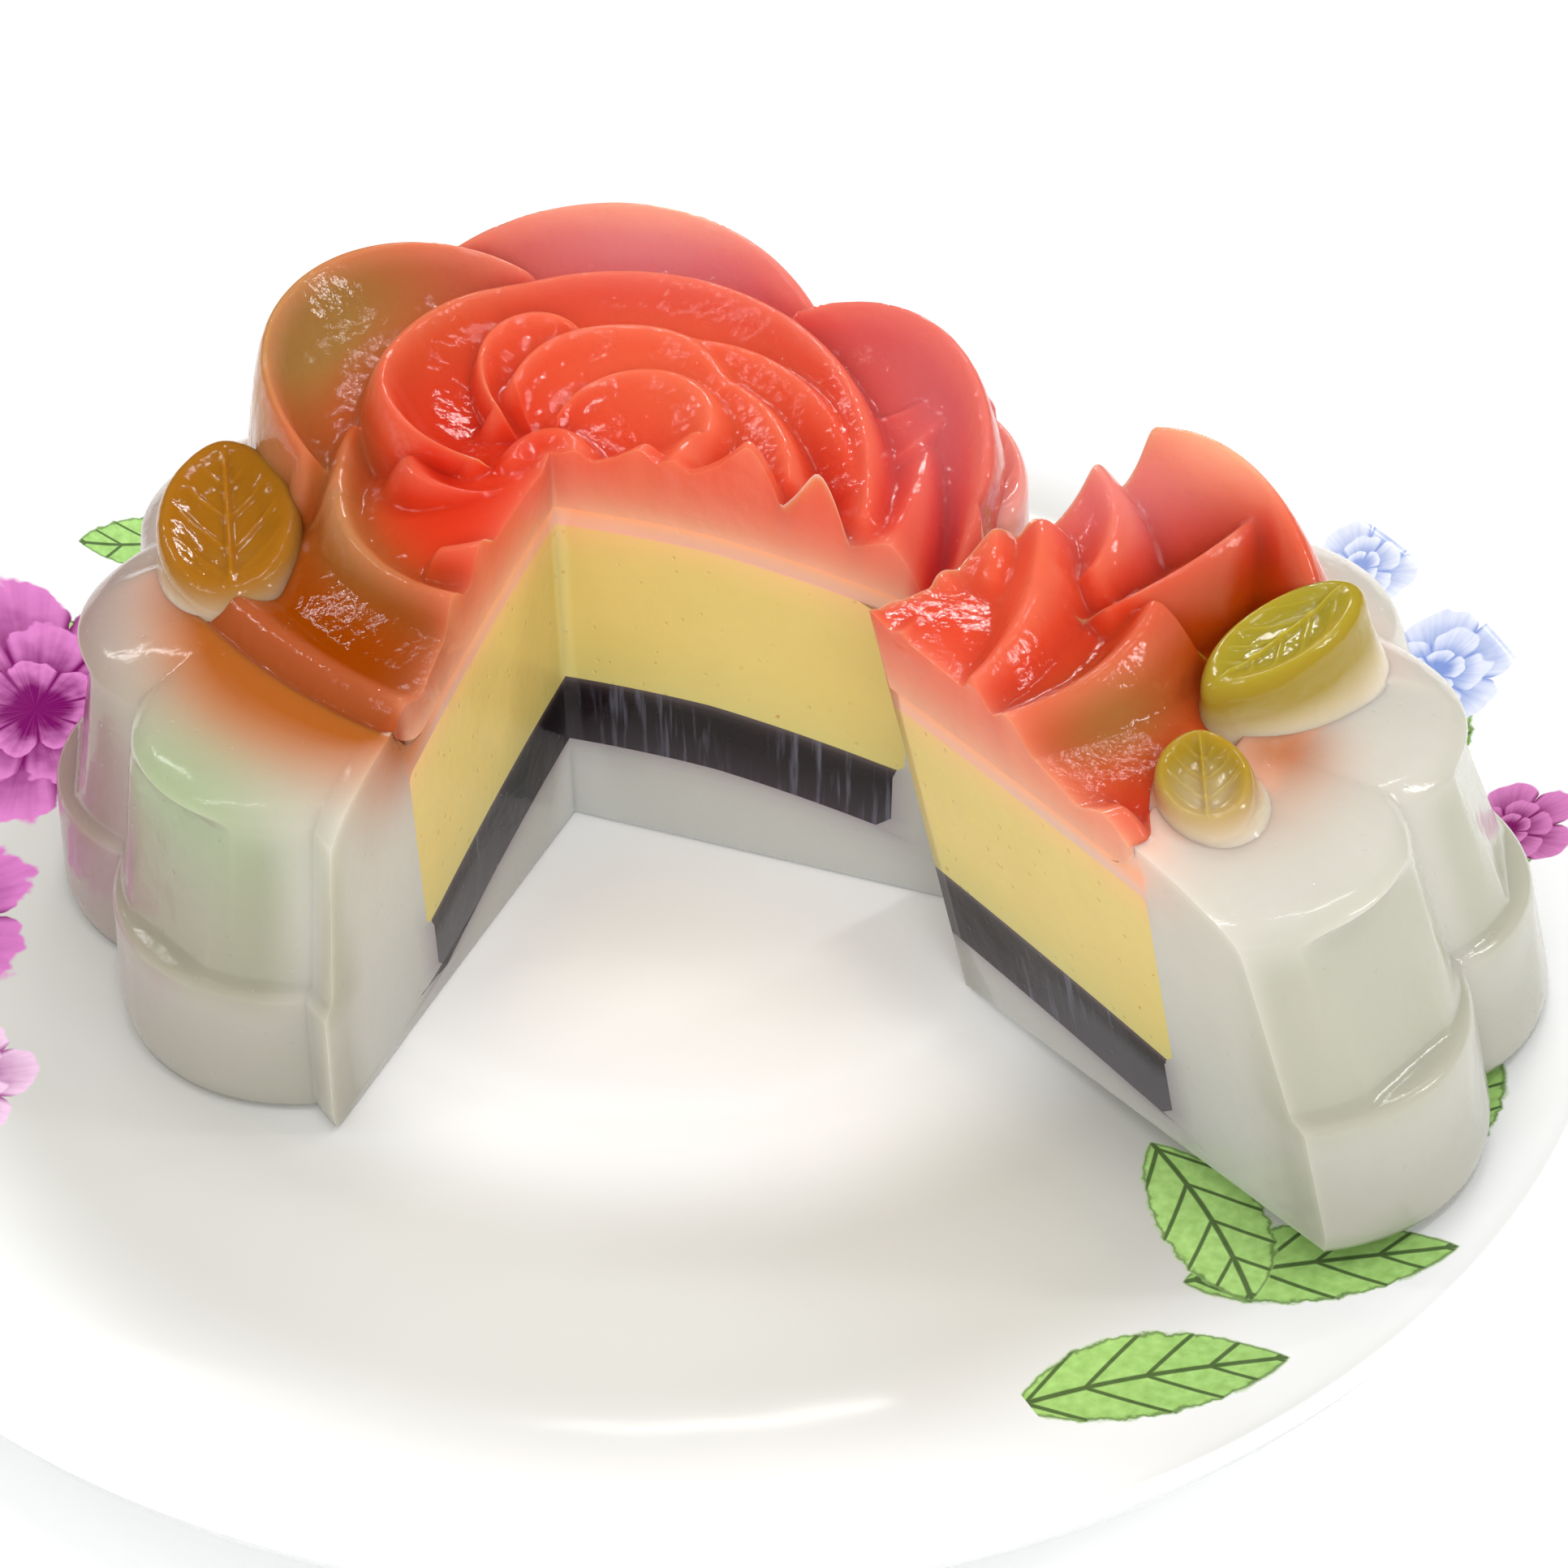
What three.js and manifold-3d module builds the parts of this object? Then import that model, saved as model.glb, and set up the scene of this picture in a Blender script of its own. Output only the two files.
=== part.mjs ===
// Layered agar jelly turned out of a lobed rose mould, cut open, on its porcelain plate.
// Millimetres, +Z up. The origin is the middle of the plate's foot, on the table.
// The jelly's own frame has its origin at the middle of its base; angles turn from +X towards +Y.
import * as THREE from 'three';
import { mergeVertices } from 'three/addons/utils/BufferGeometryUtils.js';
import Module from 'manifold-3d';

const wasm = await Module();
wasm.setup();

// ---- driving dimensions -------------------------------------------------------------------

const GAP = 0.3;                  // between touching pieces

const PLATE_RADIUS = 95;
const PLATE_FLOOR = 3.7;          // height of the well's floor
const PLATE_RIM = 12;             // height of the lip
const WELL_RADIUS = 70;           // where the floor begins to rise
const RISE_POWER = 2;
const FOOT_RADIUS = 38.5;

const LOBES = 10;                 // fluted lobes round the jelly
const LOBE_ANGLE = 2 * Math.PI / LOBES;
const FIRST_VALLEY = degrees(-116);
const BAND_RADIUS = 52.9;         // lower band, at the middle of a lobe
const BAND_VALLEY = 48.3;         // and in the valley between two lobes
const BAND_HEIGHT = 12.6;
const PANEL_FOOT = 49.2;          // flat panels above the band, at their foot
const PANEL_HEAD = 45.3;          // and under the shoulder
const SHOULDER_RADIUS = 46.8;
const SHOULDER_VALLEY = 42.4;
const SHOULDER_HEIGHT = 29.8;
const CROWN_HEIGHT = 33.4;        // coconut layer where it meets the rose

const CUT_LEFT = degrees(-112.2); // the two cuts that free the slice
const CUT_RIGHT = degrees(-19.7);
const SLICE_TIP = new THREE.Vector2(-6.4, -0.6);
const SLICE_POSITION = new THREE.Vector3(29, -23, 4.3);
const SLICE_YAW = degrees(52);
const SLICE_TILT = new THREE.Vector2(degrees(-4), degrees(-4));
const SLICE_LEAN = 0.134;         // the soft slice leans back towards the jelly,
const TIP_LEAN = 0.037;           // its thin tip a little more
const TIP_LENGTH = 45;

const JELLY_CENTRE = new THREE.Vector3(-11.2, 4.3, PLATE_FLOOR + GAP);

const CUSTARD_RADIUS = 33.6;
const COFFEE_RADIUS = 32.4;
const CUSTARD_DEPTH = 18.4;
const COFFEE_DEPTH = 8;
const FILM_DEPTH = 1.7;           // coconut film between custard and rose
const LOWEST_COFFEE = 1.8;
const RISE_LIMIT = 1;             // how much the layers may rise over their middle

// How the layers lie: their middle, and the custard's underside by its height over the middle
// of the jelly, its slopes along X and Y and its sag.
const MAIN_BED = { centre: [3.6, 1.4], height: 17.8, slopeX: 0.125, slopeY: 0.162, sag: 0.003 };
const SLICE_BED = { centre: [1, -0.4], height: 15.2, slopeX: 0.06, slopeY: 0.11, sag: 0.0008 };

// Petals of the rose. Angles are in degrees; radius and height are at the petal's first end,
// its middle and its last end. Wall is how steeply it falls outwards, hollow how deep its
// inner side sinks.
const PETALS = [
  { from: 98, to: 172, radius: [31, 36.4, 24.4], height: [47.5, 50.4, 42.6], wall: 2.1, hollow: 5.5 },
  { from: 34, to: 115, radius: [33, 38, 36], height: [44, 52, 47], wall: 2.3, hollow: 6 },
  { from: -16, to: 42, radius: [40, 40.8, 32], height: [37.5, 49.8, 48], wall: 2.4, hollow: 6 },
  { from: 1, to: 13, radius: [31, 37, 41.5], height: [41.6, 44, 46.6], wall: 0.8, hollow: 1 },
  { from: -56, to: -23, radius: [34.6, 32.6, 27], height: [37.5, 47.4, 50], wall: 1.9, hollow: 5.5 },
  { from: -70, to: -42, radius: [17.6, 23, 31], height: [42, 43, 44], wall: 1.3, hollow: 2.6 },
  { from: 156, to: 292, radius: [22, 19.6, 21.5], height: [42, 40, 42.8], wall: 1.4, hollow: 3 },
  { from: 186, to: 247, radius: [34.5, 29.6, 30], height: [35.6, 35.6, 35.4], wall: 0.7, hollow: 1.2 },
  { from: 98, to: 184, radius: [27.5, 21.8, 7.5], height: [47.8, 47.4, 44], wall: 1.2, hollow: 3.4 },
  { from: -16, to: 104, radius: [31, 28.6, 27], height: [42.5, 49.4, 47.8], wall: 1.2, hollow: 3.4 },
  { from: -30, to: 6, radius: [33, 34.5, 36.5], height: [40, 42, 43], wall: 1, hollow: 0.8 },
  { from: -8, to: 56, radius: [29.4, 25, 19.5], height: [43, 47.2, 47.5], wall: 1.1, hollow: 2.6 },
  { from: -12, to: 34, radius: [23.4, 21.3, 19], height: [44.2, 46, 46.5], wall: 1, hollow: 2.2 },
  { from: 84, to: 130, radius: [17.5, 20.3, 8.5], height: [48, 47.8, 45.5], wall: 1.1, hollow: 2.8 },
  { from: 28, to: 112, radius: [18.9, 18.6, 11], height: [46.5, 48.6, 46.5], wall: 1.1, hollow: 2.6 },
  { from: -56, to: -17, radius: [16, 19.6, 20], height: [43.5, 46.8, 49], wall: 1.4, hollow: 3.4 },
  { from: -126, to: -36, radius: [15.7, 12, 12.8], height: [41.8, 44.6, 46.4], wall: 1.2, hollow: 2.4 },
  { from: -36, to: 4, radius: [13, 12.6, 14], height: [45, 46, 46], wall: 1, hollow: 2 },
  { from: -72, to: -12, radius: [7.6, 8.2, 9.6], height: [44, 45.8, 46.4], wall: 1, hollow: 1.8 },
  { from: -80, to: 190, radius: [3.2, 2.4, 3.6], height: [43.8, 45.4, 44], wall: 0.9, hollow: 1 },
  { from: -4, to: 86, radius: [14, 15.2, 6], height: [44.8, 47.2, 45], wall: 0.9, hollow: 2.2 },
  { from: 176, to: 226, radius: [13.6, 11, 5], height: [43.4, 43.2, 42], wall: 1.1, hollow: 1.6 },
];
const ROSE_BED = { height: 43, fall: 0.012 };
const RIM_ROUNDING = 1.1;         // of a petal's edge
const CREASE = 1.2;               // rounding where two petals meet
const ROSE_REACH = 46;

// Leaves: middle on the jelly, length and width halves, turn, height at the tip and the heel,
// and how far the sides spread towards the foot.
const LEAVES = {
  main_leaf_left: { at: [-31.6, -0.8], half: [12.2, 7], turn: 101, tip: 40, heel: 35.8, skirt: 1 },
  main_leaf_right: { at: [41.6, 8], half: [9.5, 4.8], turn: 100, tip: 40.6, heel: 38, skirt: 0.6 },
  slice_leaf_large: {
    at: [13.8, -28.4], half: [10.2, 4.4], turn: 170, tip: 38.2, heel: 40.6, skirt: 2.2,
  },
  slice_leaf_small: { at: [-5, -31.2], half: [5.8, 4.2], turn: 32, tip: 37.4, heel: 34.8, skirt: 3 },
};
const LEAF_FOOT = 30.5;
const SKIRT_GROWTH = 2.5;         // widens a grown leaf's foot, so its sloping side grows too

// ---- colours ------------------------------------------------------------------------------

const FINISH = {
  porcelain: new THREE.MeshStandardMaterial({ color: 0xf4f4f2, roughness: 0.15, metalness: 0 }),
  coconut: new THREE.MeshStandardMaterial({ color: 0xd3d1c6, roughness: 0.2, metalness: 0 }),
  coffee: new THREE.MeshStandardMaterial({ color: 0x2a2128, roughness: 0.2, metalness: 0 }),
  custard: new THREE.MeshStandardMaterial({ color: 0xecd57c, roughness: 0.25, metalness: 0 }),
  rose: new THREE.MeshStandardMaterial({ color: 0xe8503f, roughness: 0.12, metalness: 0 }),
  leaf: new THREE.MeshStandardMaterial({ color: 0x9a8534, roughness: 0.12, metalness: 0 }),
};

// ---- small helpers ------------------------------------------------------------------------

function degrees(angle) {
  return angle * Math.PI / 180;
}

function clamp01(value) {
  return Math.min(1, Math.max(0, value));
}

/** The larger of two heights, with the crease between them rounded over. */
function blendMax(a, b, width) {
  const overlap = Math.max(width - Math.abs(a - b), 0) / width;
  return Math.max(a, b) + overlap * overlap * width * 0.25;
}

/** A value through three stations at 0, 0.5 and 1. */
function throughThree([first, middle, last], t) {
  const bow = 2 * first - 4 * middle + 2 * last;
  const slope = 4 * middle - 3 * first - last;
  return first + slope * t + bow * t * t;
}

/** A closed solid from rings of points, each ring round the same way, ends closed by fans.
 *  Each four-sided face is split along the shorter diagonal of the guide's face. */
function ringSolid(rings, guide = rings) {
  const sides = rings[0].length;
  const points = rings.flat();
  const shape = guide.flat();
  const bottom = points.length;
  points.push(middleOf(rings[0]));
  points.push(middleOf(rings[rings.length - 1]));
  const faces = [];
  for (let side = 0; side < sides; side += 1) {
    const next = (side + 1) % sides;
    faces.push(bottom, next, side);
    const last = (rings.length - 1) * sides;
    faces.push(bottom + 1, last + side, last + next);
    for (let ring = 0; ring < rings.length - 1; ring += 1) {
      const low = ring * sides;
      const high = low + sides;
      const rising = shape[low + side].distanceTo(shape[high + next]);
      const falling = shape[low + next].distanceTo(shape[high + side]);
      if (rising < falling) {
        faces.push(low + side, low + next, high + next);
        faces.push(low + side, high + next, high + side);
      } else {
        faces.push(low + side, low + next, high + side);
        faces.push(low + next, high + next, high + side);
      }
    }
  }
  const geometry = new THREE.BufferGeometry().setFromPoints(points);
  geometry.setIndex(faces);
  return toSolid(geometry);
}

function middleOf(ring) {
  const middle = new THREE.Vector3();
  ring.forEach((point) => middle.add(point));
  return middle.divideScalar(ring.length);
}

function toSolid(source) {
  let geometry = source.clone();
  geometry.deleteAttribute('normal');
  geometry.deleteAttribute('uv');
  geometry = mergeVertices(geometry, 1e-4);
  const mesh = new wasm.Mesh({
    numProp: 3,
    vertProperties: new Float32Array(geometry.attributes.position.array),
    triVerts: new Uint32Array(geometry.index.array),
  });
  return new wasm.Manifold(mesh);
}

function toGeometry(solid) {
  const mesh = solid.getMesh();
  const geometry = new THREE.BufferGeometry();
  geometry.setAttribute('position', new THREE.BufferAttribute(mesh.vertProperties, 3));
  geometry.setIndex(new THREE.BufferAttribute(mesh.triVerts, 1));
  geometry.computeVertexNormals();
  return geometry;
}

function polar(radius, angle, height) {
  return new THREE.Vector3(radius * Math.cos(angle), radius * Math.sin(angle), height);
}

function fullTurn(steps) {
  return Array.from({ length: steps }, (_, step) => FIRST_VALLEY + 2 * Math.PI * step / steps);
}

// ---- the fluted body ----------------------------------------------------------------------

/** Angle from the middle of the nearest lobe. */
function fromLobeMiddle(angle) {
  const turned = (angle - FIRST_VALLEY) / LOBE_ANGLE;
  return (turned - Math.floor(turned) - 0.5) * LOBE_ANGLE;
}

/** Radius of an outline of round lobes, from its crests and its valleys. */
function lobed(angle, crest, valley) {
  const half = LOBE_ANGLE / 2;
  const alongX = valley * Math.cos(half);
  const alongY = valley * Math.sin(half);
  const centre = (crest ** 2 - alongX ** 2 - alongY ** 2) / (2 * (crest - alongX));
  const arc = crest - centre;
  const offset = fromLobeMiddle(angle);
  return centre * Math.cos(offset) + Math.sqrt(arc ** 2 - (centre * Math.sin(offset)) ** 2);
}

/** The same outline with its lobes cut off flat, as the panels above the band are. */
function panelled(angle, crest, valley, flat) {
  return Math.min(lobed(angle, crest, valley), flat / Math.cos(fromLobeMiddle(angle)));
}

/** The whole jelly below the rose, before anything is cut out of it. */
function body() {
  const between = (t) => BAND_HEIGHT + 1.4 + (SHOULDER_HEIGHT - BAND_HEIGHT - 3) * t;
  const levels = [
    [0, (a) => lobed(a, BAND_RADIUS - 0.4, BAND_VALLEY - 0.4)],
    [1, (a) => lobed(a, BAND_RADIUS, BAND_VALLEY)],
    [BAND_HEIGHT - 1.2, (a) => lobed(a, BAND_RADIUS - 0.8, BAND_VALLEY - 0.9)],
    [BAND_HEIGHT, (a) => lobed(a, BAND_RADIUS - 1.9, BAND_VALLEY - 1.8)],
    [between(0), (a) => panelled(a, BAND_RADIUS - 2.4, BAND_VALLEY - 2, PANEL_FOOT)],
    [between(1), (a) => panelled(a, SHOULDER_RADIUS + 0.3, SHOULDER_VALLEY + 0.3, PANEL_HEAD)],
    [SHOULDER_HEIGHT - 0.6, (a) => lobed(a, SHOULDER_RADIUS, SHOULDER_VALLEY)],
    [SHOULDER_HEIGHT + 0.4, (a) => lobed(a, SHOULDER_RADIUS - 1.2, SHOULDER_VALLEY - 1)],
    [SHOULDER_HEIGHT + 2.2, (a) => lobed(a, SHOULDER_RADIUS - 5, SHOULDER_VALLEY - 2.4)],
    [CROWN_HEIGHT, () => 36],
    [CROWN_HEIGHT + 0.8, () => 30],
    [CROWN_HEIGHT + 5.4, () => 18],
  ];
  const rings = levels.map(([height, radius]) => (
    fullTurn(8 * LOBES).map((angle) => polar(radius(angle), angle, height))
  ));
  return ringSolid(rings);
}

// ---- layers inside ------------------------------------------------------------------------

/** Height of the custard's underside over a point of the base. */
function custardBed(bed, x, y) {
  const rise = Math.min(bed.slopeX * x + bed.slopeY * y, RISE_LIMIT);
  return bed.height + rise - bed.sag * (x * x + y * y);
}

/** A round layer between two surfaces, its edge rounded, grown by a margin. */
function layer([midX, midY], radius, rounding, lower, upper, margin) {
  const turns = fullTurn(40);
  const ring = (inset, height) => turns.map((angle) => {
    const reach = radius + margin - inset;
    const x = midX + reach * Math.cos(angle);
    const y = midY + reach * Math.sin(angle);
    return new THREE.Vector3(x, y, height(x, y));
  });
  const floor = (x, y) => lower(x, y) - margin;
  const roof = (x, y) => upper(x, y) + margin;
  return ringSolid([
    ring(radius * 0.5, floor),
    ring(rounding, floor),
    ring(0, (x, y) => floor(x, y) + rounding),
    ring(0, (x, y) => roof(x, y) - rounding),
    ring(rounding, roof),
    ring(radius * 0.5, roof),
  ]);
}

function custard(bed, margin) {
  const under = (x, y) => custardBed(bed, x, y) + GAP / 2;
  const over = (x, y) => custardBed(bed, x, y) + CUSTARD_DEPTH;
  return layer(bed.centre, CUSTARD_RADIUS, 0.8, under, over, margin);
}

function coffee(bed, margin) {
  const over = (x, y) => custardBed(bed, x, y) - GAP / 2;
  const under = (x, y) => Math.max(over(x, y) - COFFEE_DEPTH, LOWEST_COFFEE);
  return layer(bed.centre, COFFEE_RADIUS, 1.6, under, over, margin);
}

// ---- the rose -----------------------------------------------------------------------------

/** Height of one petal's surface, falling away from its crest on both sides and past its ends. */
function petalHeight(petal, radius, angle) {
  const first = degrees(petal.from);
  const span = degrees(petal.to - petal.from);
  const turned = angle - first - span / 2;
  const nearest = turned - 2 * Math.PI * Math.round(turned / (2 * Math.PI));
  const along = nearest / span + 0.5;
  const t = clamp01(along);
  const crest = throughThree(petal.radius, t);
  const height = throughThree(petal.height, t);
  const past = Math.abs(along - t) * span * crest;
  const off = radius - crest;
  const distance = Math.sqrt(off * off + RIM_ROUNDING ** 2) - RIM_ROUNDING;
  const ends = 1.1 * past + 0.35 * past * past;
  if (off > 0) {
    return height - distance * petal.wall - distance * distance * petal.wall * 0.22 - ends;
  }
  return height - petal.hollow * (1 - Math.exp(-distance / 2.6)) - 0.22 * distance - ends;
}

/** Upper surface of the rose. */
function roseTop(radius, angle) {
  const bed = ROSE_BED.height - ROSE_BED.fall * radius * radius;
  return PETALS.reduce((top, petal) => {
    const height = petalHeight(petal, radius, angle);
    return blendMax(top, height, CREASE);
  }, bed);
}

/** How far out the rose reaches before it meets the coconut shoulder. */
function roseReach(angle) {
  let radius = ROSE_REACH;
  while (radius > 20 && roseTop(radius, angle) < CROWN_HEIGHT - 1) {
    radius -= 0.25;
  }
  return Math.min(radius, lobed(angle, SHOULDER_RADIUS - 2.4, SHOULDER_VALLEY - 1.4));
}

/** Rings of points round the rose, from under it over its rim to the middle of its top. */
function roseRings(margin) {
  const turns = fullTurn(72);
  const reach = turns.map((angle) => roseReach(angle));
  const floor = () => LEAF_FOOT - margin;
  const roof = (radius, angle) => {
    const near = [radius - margin, radius, radius + margin];
    const top = Math.max(...near.map((at) => roseTop(at, angle)));
    return Math.max(top, LEAF_FOOT + 0.6) + margin;
  };
  const ring = (share, height) => turns.map((angle, turn) => {
    const radius = share * reach[turn] + (share === 1 ? margin : 0);
    return polar(radius, angle, height(radius, angle));
  });
  const steps = 21;
  const shares = Array.from({ length: steps }, (_, step) => 1 - step / steps);
  return [ring(1, floor), ...shares.map((share) => ring(share, roof))];
}

/** The rose, lying on the coconut film over the custard, grown by a margin. */
function rose(bed, margin) {
  const under = custard(bed, FILM_DEPTH + GAP - margin);
  return ringSolid(roseRings(margin), roseRings(0)).subtract(under);
}

// ---- leaves -------------------------------------------------------------------------------

/** A leaf lying on the shoulder, pointed at its tip, grown by a margin. */
function leaf(shape, margin) {
  const [midX, midY] = shape.at;
  const [halfLength, halfWidth] = shape.half;
  const turn = degrees(shape.turn);
  const place = (u, v, height) => new THREE.Vector3(
    midX + u * Math.cos(turn) - v * Math.sin(turn),
    midY + u * Math.sin(turn) + v * Math.cos(turn),
    height,
  );
  const sides = 16;
  const ring = (share, height, spread = margin) => Array.from({ length: sides }, (_, side) => {
    const around = 2 * Math.PI * side / sides;
    const pointed = 1 - 0.22 * clamp01(Math.cos(around)) ** 3;
    const u = share * (halfLength + spread) * Math.cos(around);
    const v = share * (halfWidth + spread) * Math.sin(around) * pointed;
    return place(u, v, height(share, u / halfLength, v / halfWidth));
  });
  const slope = (u) => shape.heel + (shape.tip - shape.heel) * (u + 1) / 2 + margin;
  const dish = (share, u, v) => slope(u) - 1.1 * (1 - share * share) + 0.5 * (1 - Math.abs(v));
  const foot = () => LEAF_FOOT - margin;
  const spread = shape.skirt + SKIRT_GROWTH * margin;
  return ringSolid([
    ring(0.6, foot, spread),
    ring(1, foot, spread),
    ring(1, (share, u) => slope(u) - 2.2),
    ring(0.96, (share, u) => slope(u) - 0.7),
    ring(0.86, dish),
    ring(0.6, dish),
    ring(0.3, dish),
  ]);
}

// ---- cutting ------------------------------------------------------------------------------

/** A tall wedge from a tip, between two directions. */
function wedge(tip, from, to) {
  const far = 120;
  const outline = new THREE.Shape();
  outline.moveTo(tip.x, tip.y);
  outline.lineTo(tip.x + far * Math.cos(from), tip.y + far * Math.sin(from));
  outline.lineTo(tip.x + far * Math.cos(to), tip.y + far * Math.sin(to));
  outline.closePath();
  const prism = new THREE.ExtrudeGeometry(outline, { depth: 90, bevelEnabled: false });
  prism.translate(0, 0, -10);
  return toSolid(prism);
}

/** Direction from the slice's tip to where a cut leaves the jelly. */
function sliceSide(cut) {
  const end = polar(50, cut, 0);
  return Math.atan2(end.y - SLICE_TIP.y, end.x - SLICE_TIP.x);
}

/** The layers of one piece of the jelly, trimmed by the given cut. */
function layers(bed, prefix, trim) {
  const leaves = Object.entries(LEAVES).filter(([name]) => name.startsWith(prefix));
  const wholeRose = rose(bed, GAP);
  const film = custard(bed, FILM_DEPTH);
  let shell = body().add(film);
  shell = shell.subtract(custard(bed, GAP)).subtract(coffee(bed, GAP)).subtract(wholeRose);
  leaves.forEach(([, shape]) => {
    shell = shell.subtract(leaf(shape, GAP));
  });
  const pieces = [
    [`${prefix}_coconut_shell`, shell, FINISH.coconut],
    [`${prefix}_coffee_layer`, coffee(bed, 0), FINISH.coffee],
    [`${prefix}_custard`, custard(bed, 0), FINISH.custard],
    [`${prefix}_rose`, rose(bed, 0), FINISH.rose],
  ];
  leaves.forEach(([name, shape], index) => {
    const later = leaves.slice(index + 1).map(([, other]) => leaf(other, GAP));
    const around = [rose(bed, 2 * GAP), custard(bed, FILM_DEPTH + GAP), ...later];
    const solid = around.reduce((rest, other) => rest.subtract(other), leaf(shape, 0));
    pieces.push([name, solid, FINISH.leaf]);
  });
  return pieces.map(([name, solid, finish]) => [name, largest(trim(solid)), finish]);
}

/** The biggest body of a solid, without loose scraps. */
function largest(solid) {
  const parts = solid.decompose();
  return parts.reduce((best, part) => (part.volume() > best.volume() ? part : best));
}

// ---- the plate ----------------------------------------------------------------------------

/** Height of the plate's upper side. */
function plateTop(radius) {
  const share = clamp01((radius - WELL_RADIUS) / (PLATE_RADIUS - WELL_RADIUS));
  return PLATE_FLOOR + (PLATE_RIM - PLATE_FLOOR) * share ** RISE_POWER;
}

function plate() {
  const foot = 0.9;
  const wall = 2.6;
  const rise = [0.25, 0.5, 0.75, 0.95].map((share) => (
    WELL_RADIUS + (PLATE_RADIUS - WELL_RADIUS) * share
  ));
  const profile = [
    [0, PLATE_FLOOR],
    [FOOT_RADIUS, PLATE_FLOOR],
    [FOOT_RADIUS + 1.2, PLATE_FLOOR - 0.2],
    [WELL_RADIUS - 2, PLATE_FLOOR - 0.2],
    ...rise.map((radius) => [radius, plateTop(radius)]),
    [PLATE_RADIUS - 0.6, PLATE_RIM],
    [PLATE_RADIUS, PLATE_RIM - 0.6],
    [PLATE_RADIUS - 0.6, PLATE_RIM - 2],
    ...rise.reverse().map((radius) => [radius, plateTop(radius) - wall]),
    [FOOT_RADIUS + 3, foot],
    [FOOT_RADIUS + 2, 0],
    [FOOT_RADIUS - 1, 0],
    [FOOT_RADIUS - 2, foot],
    [0, foot],
  ];
  const outline = profile.map(([radius, height]) => new THREE.Vector2(radius, height)).reverse();
  const geometry = new THREE.LatheGeometry(outline, 52);
  geometry.rotateX(Math.PI / 2);
  return toSolid(geometry);
}

// ---- putting it together ------------------------------------------------------------------

/** Leans a slice standing with its tip on the axis; its height stays as it is. */
function leanOver(geometry) {
  const place = geometry.attributes.position;
  for (let index = 0; index < place.count; index += 1) {
    const x = place.getX(index);
    const y = place.getY(index);
    const nearTip = clamp01(1 - Math.hypot(x, y) / TIP_LENGTH);
    const shift = (SLICE_LEAN + TIP_LEAN * nearTip) * place.getZ(index);
    place.setXY(index, x - shift * Math.cos(SLICE_YAW), y + shift * Math.sin(SLICE_YAW));
  }
}

function named(name, geometry, finish) {
  const mesh = new THREE.Mesh(geometry, finish);
  mesh.name = name;
  return mesh;
}

const jelly = new THREE.Group();
jelly.add(named('plate', toGeometry(plate()), FINISH.porcelain));

const main = new THREE.Group();
main.position.copy(JELLY_CENTRE);
const opening = wedge(new THREE.Vector2(0, 0), CUT_LEFT, CUT_RIGHT);
layers(MAIN_BED, 'main', (solid) => solid.subtract(opening)).forEach(([name, solid, finish]) => {
  main.add(named(name, toGeometry(solid), finish));
});
jelly.add(main);

const turned = new THREE.Group();
turned.rotation.z = SLICE_YAW;
const keep = wedge(SLICE_TIP, sliceSide(CUT_LEFT), sliceSide(CUT_RIGHT));
layers(SLICE_BED, 'slice', (solid) => solid.intersect(keep)).forEach(([name, solid, finish]) => {
  const geometry = toGeometry(solid);
  geometry.translate(-SLICE_TIP.x, -SLICE_TIP.y, 0);
  leanOver(geometry);
  turned.add(named(name, geometry, finish));
});
const tilted = new THREE.Group();
tilted.position.copy(SLICE_POSITION);
const tiltAxis = new THREE.Vector3(SLICE_TILT.x, SLICE_TILT.y, 0).normalize();
tilted.setRotationFromAxisAngle(tiltAxis, SLICE_TILT.length());
tilted.add(turned);
jelly.add(tilted);

export default jelly;
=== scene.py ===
"""A layered agar jelly, cut open on its plate: fine shapes, finishes, light and camera."""

import logging
import math
from dataclasses import dataclass, field
from enum import Enum
from typing import Callable, Sequence

import bpy
import numpy as np
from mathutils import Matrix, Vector


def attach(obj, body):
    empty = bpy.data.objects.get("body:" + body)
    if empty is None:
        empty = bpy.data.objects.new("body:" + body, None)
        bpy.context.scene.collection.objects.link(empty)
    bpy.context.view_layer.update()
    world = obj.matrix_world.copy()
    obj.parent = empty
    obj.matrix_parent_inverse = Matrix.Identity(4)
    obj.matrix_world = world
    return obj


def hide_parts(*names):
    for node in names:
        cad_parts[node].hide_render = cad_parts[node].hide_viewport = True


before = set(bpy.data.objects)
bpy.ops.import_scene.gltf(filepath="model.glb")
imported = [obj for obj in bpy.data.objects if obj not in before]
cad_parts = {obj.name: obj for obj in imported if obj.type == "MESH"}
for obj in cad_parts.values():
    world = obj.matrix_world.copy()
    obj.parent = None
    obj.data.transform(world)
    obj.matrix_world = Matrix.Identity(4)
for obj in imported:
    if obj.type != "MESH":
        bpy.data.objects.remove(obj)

LOG = logging.getLogger("jelly")

MM = 0.001
SEAM = 0.002  # gap between two layers, in millimetres like every length below
ROSE_FIT = 0.9999  # share of the opening in the shell that the rose fills
ROSE_LIP = 0.65  # the rose's least thickness
LOBES = 10
LOBE_ANGLE = 2 * math.pi / LOBES
FIRST_VALLEY = math.radians(-116)
VALLEY_RADIUS = 48
LEAF_FOOT = 30.5  # where the leaves and the rose stand in the shell
CROWN_HEIGHT = 33.4
EDGE_STEPS = 7  # points round a layer's edge
LAYER_LEVELS = 12  # points up through a layer
FIRM_DEPTH = 1.8  # how far from a seam the jelly scatters little light
FIRM_SCATTER = 0.05  # how much light scatters in the jelly at a seam
SOFT_SCATTER = 0.6  # and away from it
JELLY_IOR = 1.36
GLAZE_IOR = 1.5

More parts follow.
